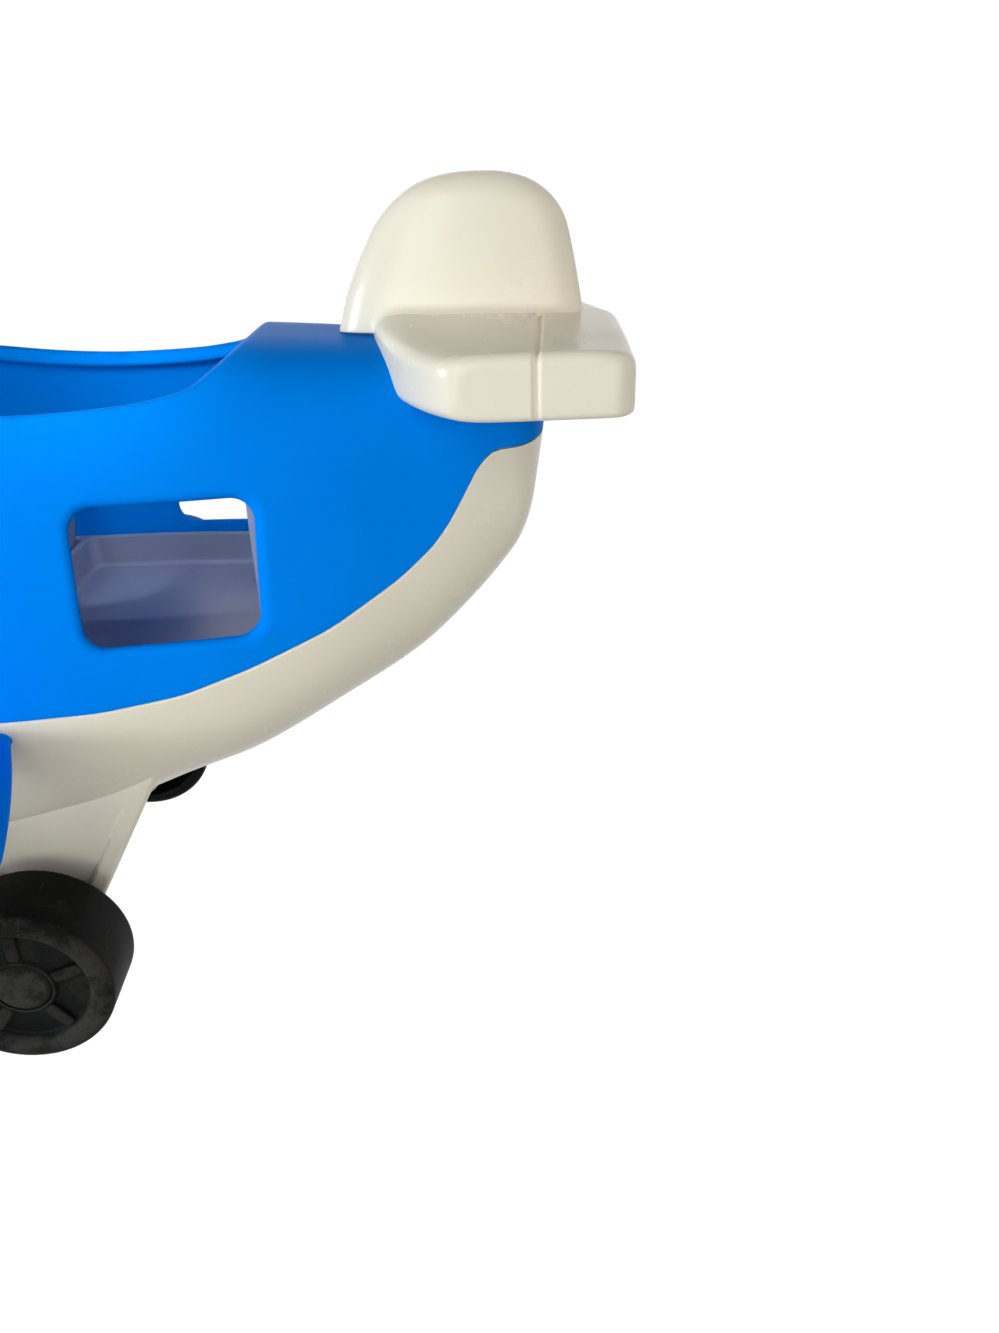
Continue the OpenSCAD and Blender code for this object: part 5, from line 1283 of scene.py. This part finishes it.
def buildSeat(x, width, wells):
    # side profile with rounded corners carried across, its ends rounded too; a round well for each figure
    floor, back, lean, length = cabin["floorZ"], seats["back"], seats["lean"], seats["length"]
    top, wellX = floor + seats["cushion"], x + length / 2 + seats["wellShift"]
    corners = [[x, floor], [x + length, floor], [x + length, top], [x + 5.2, top], [x + 2.5 - lean, top + back],
               [x - lean - 1, top + back]]
    line = softened(corners, [0.6, 0.6, 2.6, 3.2, 2.0, 1.6], 9)
    gaps = np.linalg.norm(np.diff(np.vstack([line, line[:1]]), axis=0), axis=1)
    place = np.concatenate([[0], np.cumsum(gaps)])
    closed = np.vstack([line, line[:1]])
    s = np.unique(np.concatenate([place, np.arange(0, place[-1], 1.1)]))
    ahead = np.gradient(closed, place, axis=0)
    side = np.stack([ahead[:, 1], -ahead[:, 0]], -1) / np.linalg.norm(ahead, axis=1)[:, None]

    def seatPlace(s, y):
        # point at a length along the profile and a place across it
        s = np.mod(s, place[-1])
        return np.stack([np.interp(s, place, closed[:, 0]), y, np.interp(s, place, closed[:, 1])], -1)

    def seatField(s, y):
        # distance to the nearest well's edge, on the cushion's top only
        p, far = seatPlace(s, y), 40.0
        field = np.full(np.shape(s), far)
        for wy in wells:
            near = np.hypot(p[..., 0] - wellX, p[..., 1] - wy) - seats["wellR"]
            field = np.minimum(field, np.where(np.abs(p[..., 2] - top) < 1.5, near, far))
        return field

    end = np.array([0, 0.12, 0.35, 0.7, 1.15, 1.7, 2.4])
    y = np.concatenate([-width / 2 + end, np.arange(-width / 2 + 3.6, width / 2 - 3.5, 1.3), width / 2 - end[::-1]])
    along, across = np.meshgrid(s, y, indexing="ij")
    ss, ys, _tag, d, groups, border = cutAway(seatField, seatPlace, along, across, 0 * along, 1.0, edgeShares,
                                              (0.02, 0.02))
    points = seatPlace(ss, ys)
    inward = rollOff(width / 2 - np.abs(ys), 2.0) + 0 * ys
    wrapped = np.mod(ss, place[-1])
    points[:, 0] -= np.interp(wrapped, place, side[:, 0]) * inward
    points[:, 2] -= np.interp(wrapped, place, side[:, 1]) * inward + rollOff(d, 0.9)
    centres = [[wellX, wy, top, 0, 0, -1.0] for wy in wells]
    deep = seats["wellD"] - 0.9
    moves = [(0.1, deep - 0.8), (0.35, deep - 0.25), (0.9, deep), (1.6, deep)]
    points, groups = sink(points, groups, border, centres, moves)
    # the two ends are flat faces
    caps = []
    for sign in (-1, 1):
        onEnd = np.where(np.abs(points[:len(ss), 1] - sign * width / 2) < 1e-6)[0]
        onEnd = onEnd[np.argsort(ss[onEnd])]
        caps.append(np.stack([onEnd[:-1], onEnd[1:], np.full(len(onEnd) - 1, len(points) + len(caps))], -1)[:, ::sign])
    middles = np.array([[x + 6.0, sign * width / 2, floor + 8.0] for sign in (-1, 1)])
    return np.concatenate([points, middles]), groups + caps


# dials: place along X from the panel's foot, Y, height and radius. Wheel spokes: distance from the hub, half width.
dash = {"setBack": 3.0, "width": 68.0, "high": 26.0, "slope": 6.0, "endRound": 1.5,
        "dials": [(-8.0, 22, 14, 5.0), (-8.0, -22, 14, 5.0), (-7.4, 11, 19, 3.4), (-7.4, -11, 19, 3.4)],
        "hub": (-9.0, 0, 10.0), "wheelR": 5.5, "wheelHalf": 1.4, "wheelUp": 7.0, "spokes": 3,
        "spokeRows": ((1.0, 1.3), (2.2, 0.9), (3.6, 0.8), (5.2, 1.2)), "spokeUp": 7.2, "spokeThick": 0.6}


def buildDashboard():
    # a sloping panel with rounded edges, four sunken round dials, and a small steering wheel on its column
    x, width, high, floor = cabin["to"] - dash["setBack"], dash["width"], dash["high"], cabin["floorZ"]
    corners = [[x, floor], [x, floor + high], [x - 5, floor + high], [x - 11, floor]]
    line = softened(corners, [0.4, 1.2, 1.4, 0.4], 6)
    end = np.array([0, 0.1, 0.3, 0.6, 1.0, 1.5])
    y = np.concatenate([-width / 2 + end, np.linspace(-width / 2 + 3, width / 2 - 3, 30), width / 2 - end[::-1]])
    # towards either end the profile draws in to its middle
    inset = rollOff(width / 2 - np.abs(y), dash["endRound"])[:, None]
    way = line - line.mean(0)
    rings = np.stack([line[:, 0] - way[:, 0] / 10 * inset, np.repeat(y[:, None], len(line), 1),
                      line[:, 1] - way[:, 1] / 14 * inset], -1)
    shapes = [loftShape(rings)]
    tilt = math.atan2(dash["slope"], high)
    facing = (-math.cos(tilt), 0.0, math.sin(tilt))
    for dx, dy, dz, r in dash["dials"]:
        # bezel ring and sunken face; the face lies just off the panel
        spot = (x + dx + 0.1, dy, floor + dz)
        ring = softened([[-0.2, r], [0.9, r], [0.9, r - 0.9], [0.35, r - 1.1], [0.3, 0.02], [-0.2, 0.02]],
                        [0, 0.3, 0.3, 0.1, 0, 0], 4)
        shapes.append(turnedShape(ring, spot, facing, 64))
    hub = (x + dash["hub"][0], dash["hub"][1], floor + dash["hub"][2])
    column = softened([[0, 0.02], [0, 2.6], [0.8, 2.0], [6.4, 2.0], [7.6, 2.0], [8.2, 1.2], [8.4, 0.02]],
                      [0, 0.3, 0.6, 0.2, 0.5, 0.5, 0], 4)
    shapes.append(turnedShape(column, hub, facing, 48))
    a = np.linspace(0, 2 * np.pi, 20, endpoint=False)
    half = dash["wheelHalf"]
    torus = np.stack([dash["wheelUp"] + half * np.sin(a), dash["wheelR"] + half * np.cos(a)], -1)
    shapes.append(turnedShape(np.vstack([torus, torus[:1]]), hub, facing, 80))
    f, across = np.array(facing), np.array([0, 1.0, 0])
    up, foot = np.cross(f, across), np.array(hub) + f * dash["spokeUp"]
    c, n = np.cos(a)[:, None], np.sin(a)[:, None]
    for k in range(dash["spokes"]):
        # a spoke is a flat ellipse carried outwards from the hub
        t = 2 * np.pi * k / dash["spokes"]
        out = across * math.cos(t) + up * math.sin(t)
        flat = np.cross(f, out)
        rows = [foot + out * r + c * flat * w + n * f * dash["spokeThick"] for r, w in dash["spokeRows"]]
        shapes.append(loftShape(np.array(rows)))
    return joinShapes(shapes)


# the tray's and seats' grey-violet finishes carry painted shade and painted blue reflection over pale plastic
addPiece("cabin_tray", *buildFloor(), "cabin", "plane", "cabin_grey", ("cabin_floor",), sharp=44)
addPiece("pilot_seat_moulding", *buildSeat(seats["pilotX"], seats["pilotW"], [0.0]), "seat", "plane", "seat_grey",
         ("pilot_seat",))
addPiece("bench_moulding", *buildSeat(seats["benchX"], seats["benchW"], seats["benchWells"]), "seat", "plane",
         "seat_grey", ("passenger_bench",))
addPiece("dashboard_moulding", *buildDashboard(), "dark", "plane", "dark_grey", ("dashboard",), sharp=40)
print("cabin made")


# the photograph's camera: turn, tilt and roll in degrees, place in metres, focal length and picture height in
# pixels, sensor in millimetres
view = {"turn": 2.70432, "tilt": 26.29854, "roll": -1.64926, "at": (-0.133151, 0.260598, 0.200862), "focal": 998.70,
        "pixels": 1333, "sensor": 36.0}


def lookAxes():
    # right, up and ahead: turned about Z, tilted downwards and rolled about the line of sight
    turn, tilt, roll = (math.radians(view[key]) for key in ("turn", "tilt", "roll"))
    h = np.array([-math.sin(turn), -math.cos(turn), 0])
    r = np.array([-math.cos(turn), math.sin(turn), 0])
    z = np.array([0, 0, 1.0])
    ahead = math.cos(tilt) * h - math.sin(tilt) * z
    up = math.sin(tilt) * h + math.cos(tilt) * z
    right = math.cos(roll) * r + math.sin(roll) * up
    up = -math.sin(roll) * r + math.cos(roll) * up
    return right, up, ahead


right, up, ahead = lookAxes()
cameraData = bpy.data.cameras.new("camera")
camera = bpy.data.objects.new("camera", cameraData)
bpy.context.scene.collection.objects.link(camera)
cameraData.sensor_width = view["sensor"]
cameraData.lens = view["focal"] / view["pixels"] * view["sensor"]
place = Matrix(((*right,), (*up,), (*(-ahead),))).transposed().to_4x4()
place.translation = Vector(view["at"])
camera.matrix_world = place
cameraData.clip_start, cameraData.clip_end = 0.01, 20
bpy.context.scene.camera = camera


def seenDirectly(owner):
    # 1 for rays from the camera, and for those mirrored or let through by the object
    rays = owner.node("ShaderNodeLightPath").outputs
    kinds = ("Is Camera Ray", "Is Glossy Ray", "Is Transmission Ray")
    seen, shiny, passed = (Sock(owner.tree, rays[kind]) for kind in kinds)
    return seen.most(shiny).most(passed)


# share: how much of the floor is plain white where it is seen directly. Rear and around: strength of the world's
# warm light from behind and from all sides.
stage = {"size": 8.0, "drop": -0.0004, "floor": 0.42, "share": 0.9, "white": 1.12, "rear": 0.80, "around": 0.03,
         "warm": (1.0, 0.95, 0.89, 1)}


def whiteStage():
    # floor: share of plain white, and the rest its own shading, in which the object's shadow stays
    size, drop = stage["size"], stage["drop"]
    square = [(-size, -size, drop), (size, -size, drop), (size, size, drop), (-size, size, drop)]
    mesh = bpy.data.meshes.new("floor")
    mesh.from_pydata(square, [], [(0, 1, 2, 3)])
    floor = bpy.data.objects.new("floor", mesh)
    bpy.context.scene.collection.objects.link(floor)
    f = Finish("white_floor")
    f.feed("Base Color", (stage["floor"],) * 3 + (1,))
    f.feed("Roughness", 0.9)
    f.feed("Specular IOR Level", 0.1)
    glow = f.node("ShaderNodeEmission", None, {"Color": (1, 1, 1, 1), "Strength": stage["white"]})
    mix = f.node("ShaderNodeMixShader", None, {0: seenDirectly(f) * stage["share"], 1: f.shader.outputs[0],
                                               2: glow.outputs[0]})
    f.node("ShaderNodeOutputMaterial", {"is_active_output": True}, {"Surface": mix.outputs[0]})
    mesh.materials.append(f.material)
    world = bpy.data.worlds.new("studio")
    world.use_nodes = True
    bpy.context.scene.world = world
    w = Nodes(world.node_tree)
    # a soft glow from behind the plane: share = max(0, -x)^2 of the direction
    way = w.node("ShaderNodeTexCoord").outputs["Generated"]
    rear = (w.read("ShaderNodeSeparateXYZ", "X", None, {"Vector": way}) * -1).most(0.0) ** 2
    plain = w.node("ShaderNodeBackground", None, {"Color": stage["warm"],
                                                  "Strength": rear * stage["rear"] + stage["around"]})
    white = w.node("ShaderNodeBackground", None, {"Color": (1, 1, 1, 1), "Strength": stage["white"]})
    pick = w.node("ShaderNodeMixShader", None, {0: seenDirectly(w), 1: plain.outputs[0], 2: white.outputs[0]})
    w.node("ShaderNodeOutputWorld", {"is_active_output": True}, {"Surface": pick.outputs[0]})


whiteStage()


# lamps round the plane: azimuth from +X towards +Y and elevation in degrees, distance, size and power, colour
lampTarget = Vector((-0.09, 0.02, 0.11))
lamps = {
    "key": (25, 8, 1.4, 0.30, 11.1, (0.94, 1.0, 1.05)),
    "side": (75, 8, 1.4, 0.60, 4.7, (0.94, 1.0, 0.98)),
    "sideHigh": (75, 35, 1.4, 0.60, 3.0, (1.04, 1.0, 0.95)),
    "rearSide": (125, 8, 1.4, 0.60, 2.6, (1.05, 1.0, 1.0)),
    "farSide": (285, 16, 1.4, 0.80, 2.2, (1.0, 1.0, 1.0)),
}


def aimed(data, place, target, power, colour):
    # a lamp at a place that shines at a target
    data.energy, data.color = power, colour
    lamp = bpy.data.objects.new(data.name, data)
    bpy.context.scene.collection.objects.link(lamp)
    lamp.location, lamp.rotation_mode = place, "QUATERNION"
    lamp.rotation_quaternion = (Vector(target) - Vector(place)).to_track_quat("-Z", "Y")


def outFrom(target, azimuth, elevation, distance):
    # the point that far from a target in a direction
    a, e = math.radians(azimuth), math.radians(elevation)
    return Vector(target) + distance * Vector((math.cos(e) * math.cos(a), math.cos(e) * math.sin(a), math.sin(e)))


for name, (azimuth, elevation, distance, size, power, colour) in lamps.items():
    data = bpy.data.lights.new(name, "AREA")
    data.shape, data.size = "SQUARE", size
    aimed(data, outFrom(lampTarget, azimuth, elevation, distance), lampTarget, power, colour)
# narrow beams over the near rim: onto the cabin's floor, the inside of its far wall and its cross wall.
# Target, azimuth, elevation, width in degrees and power.
beams = {
    "floorBeam": ((-0.057, -0.031, 0.096), 72, 55, 3.9, 12.0),
    "wallBeam": ((-0.050, -0.046, 0.160), 82, 30, 3.7, 22.0),
    "crossBeam": ((-0.020, -0.029, 0.099), 122, 47, 1.9, 45.0),
}
beamSource = {"distance": 0.9, "blend": 0.5, "radius": 0.03, "colour": (1.0, 1.0, 1.0)}
for name, (target, azimuth, elevation, width, power) in beams.items():
    data = bpy.data.lights.new(name, "SPOT")
    data.spot_size, data.spot_blend = math.radians(width), beamSource["blend"]
    data.shadow_soft_size = beamSource["radius"]
    aimed(data, outFrom(target, azimuth, elevation, beamSource["distance"]), target, power, beamSource["colour"])
bpy.context.scene.view_settings.view_transform = "Standard"

# finishes of the frame's own parts
slotFinish = {"blue_shell": "blue", "white_shell": "white", "cabin_grey": "cabin", "seat_grey": "seat",
              "dark_grey": "dark", "black_wheel": "wheel", "steel": "steel"}
for row in frame["record"]["subparts"]:
    node = nodes[row["node"]]
    node.data.materials.clear()
    node.data.materials.append(finishes[slotFinish[row["material_slot"]]])

print("scene ready")
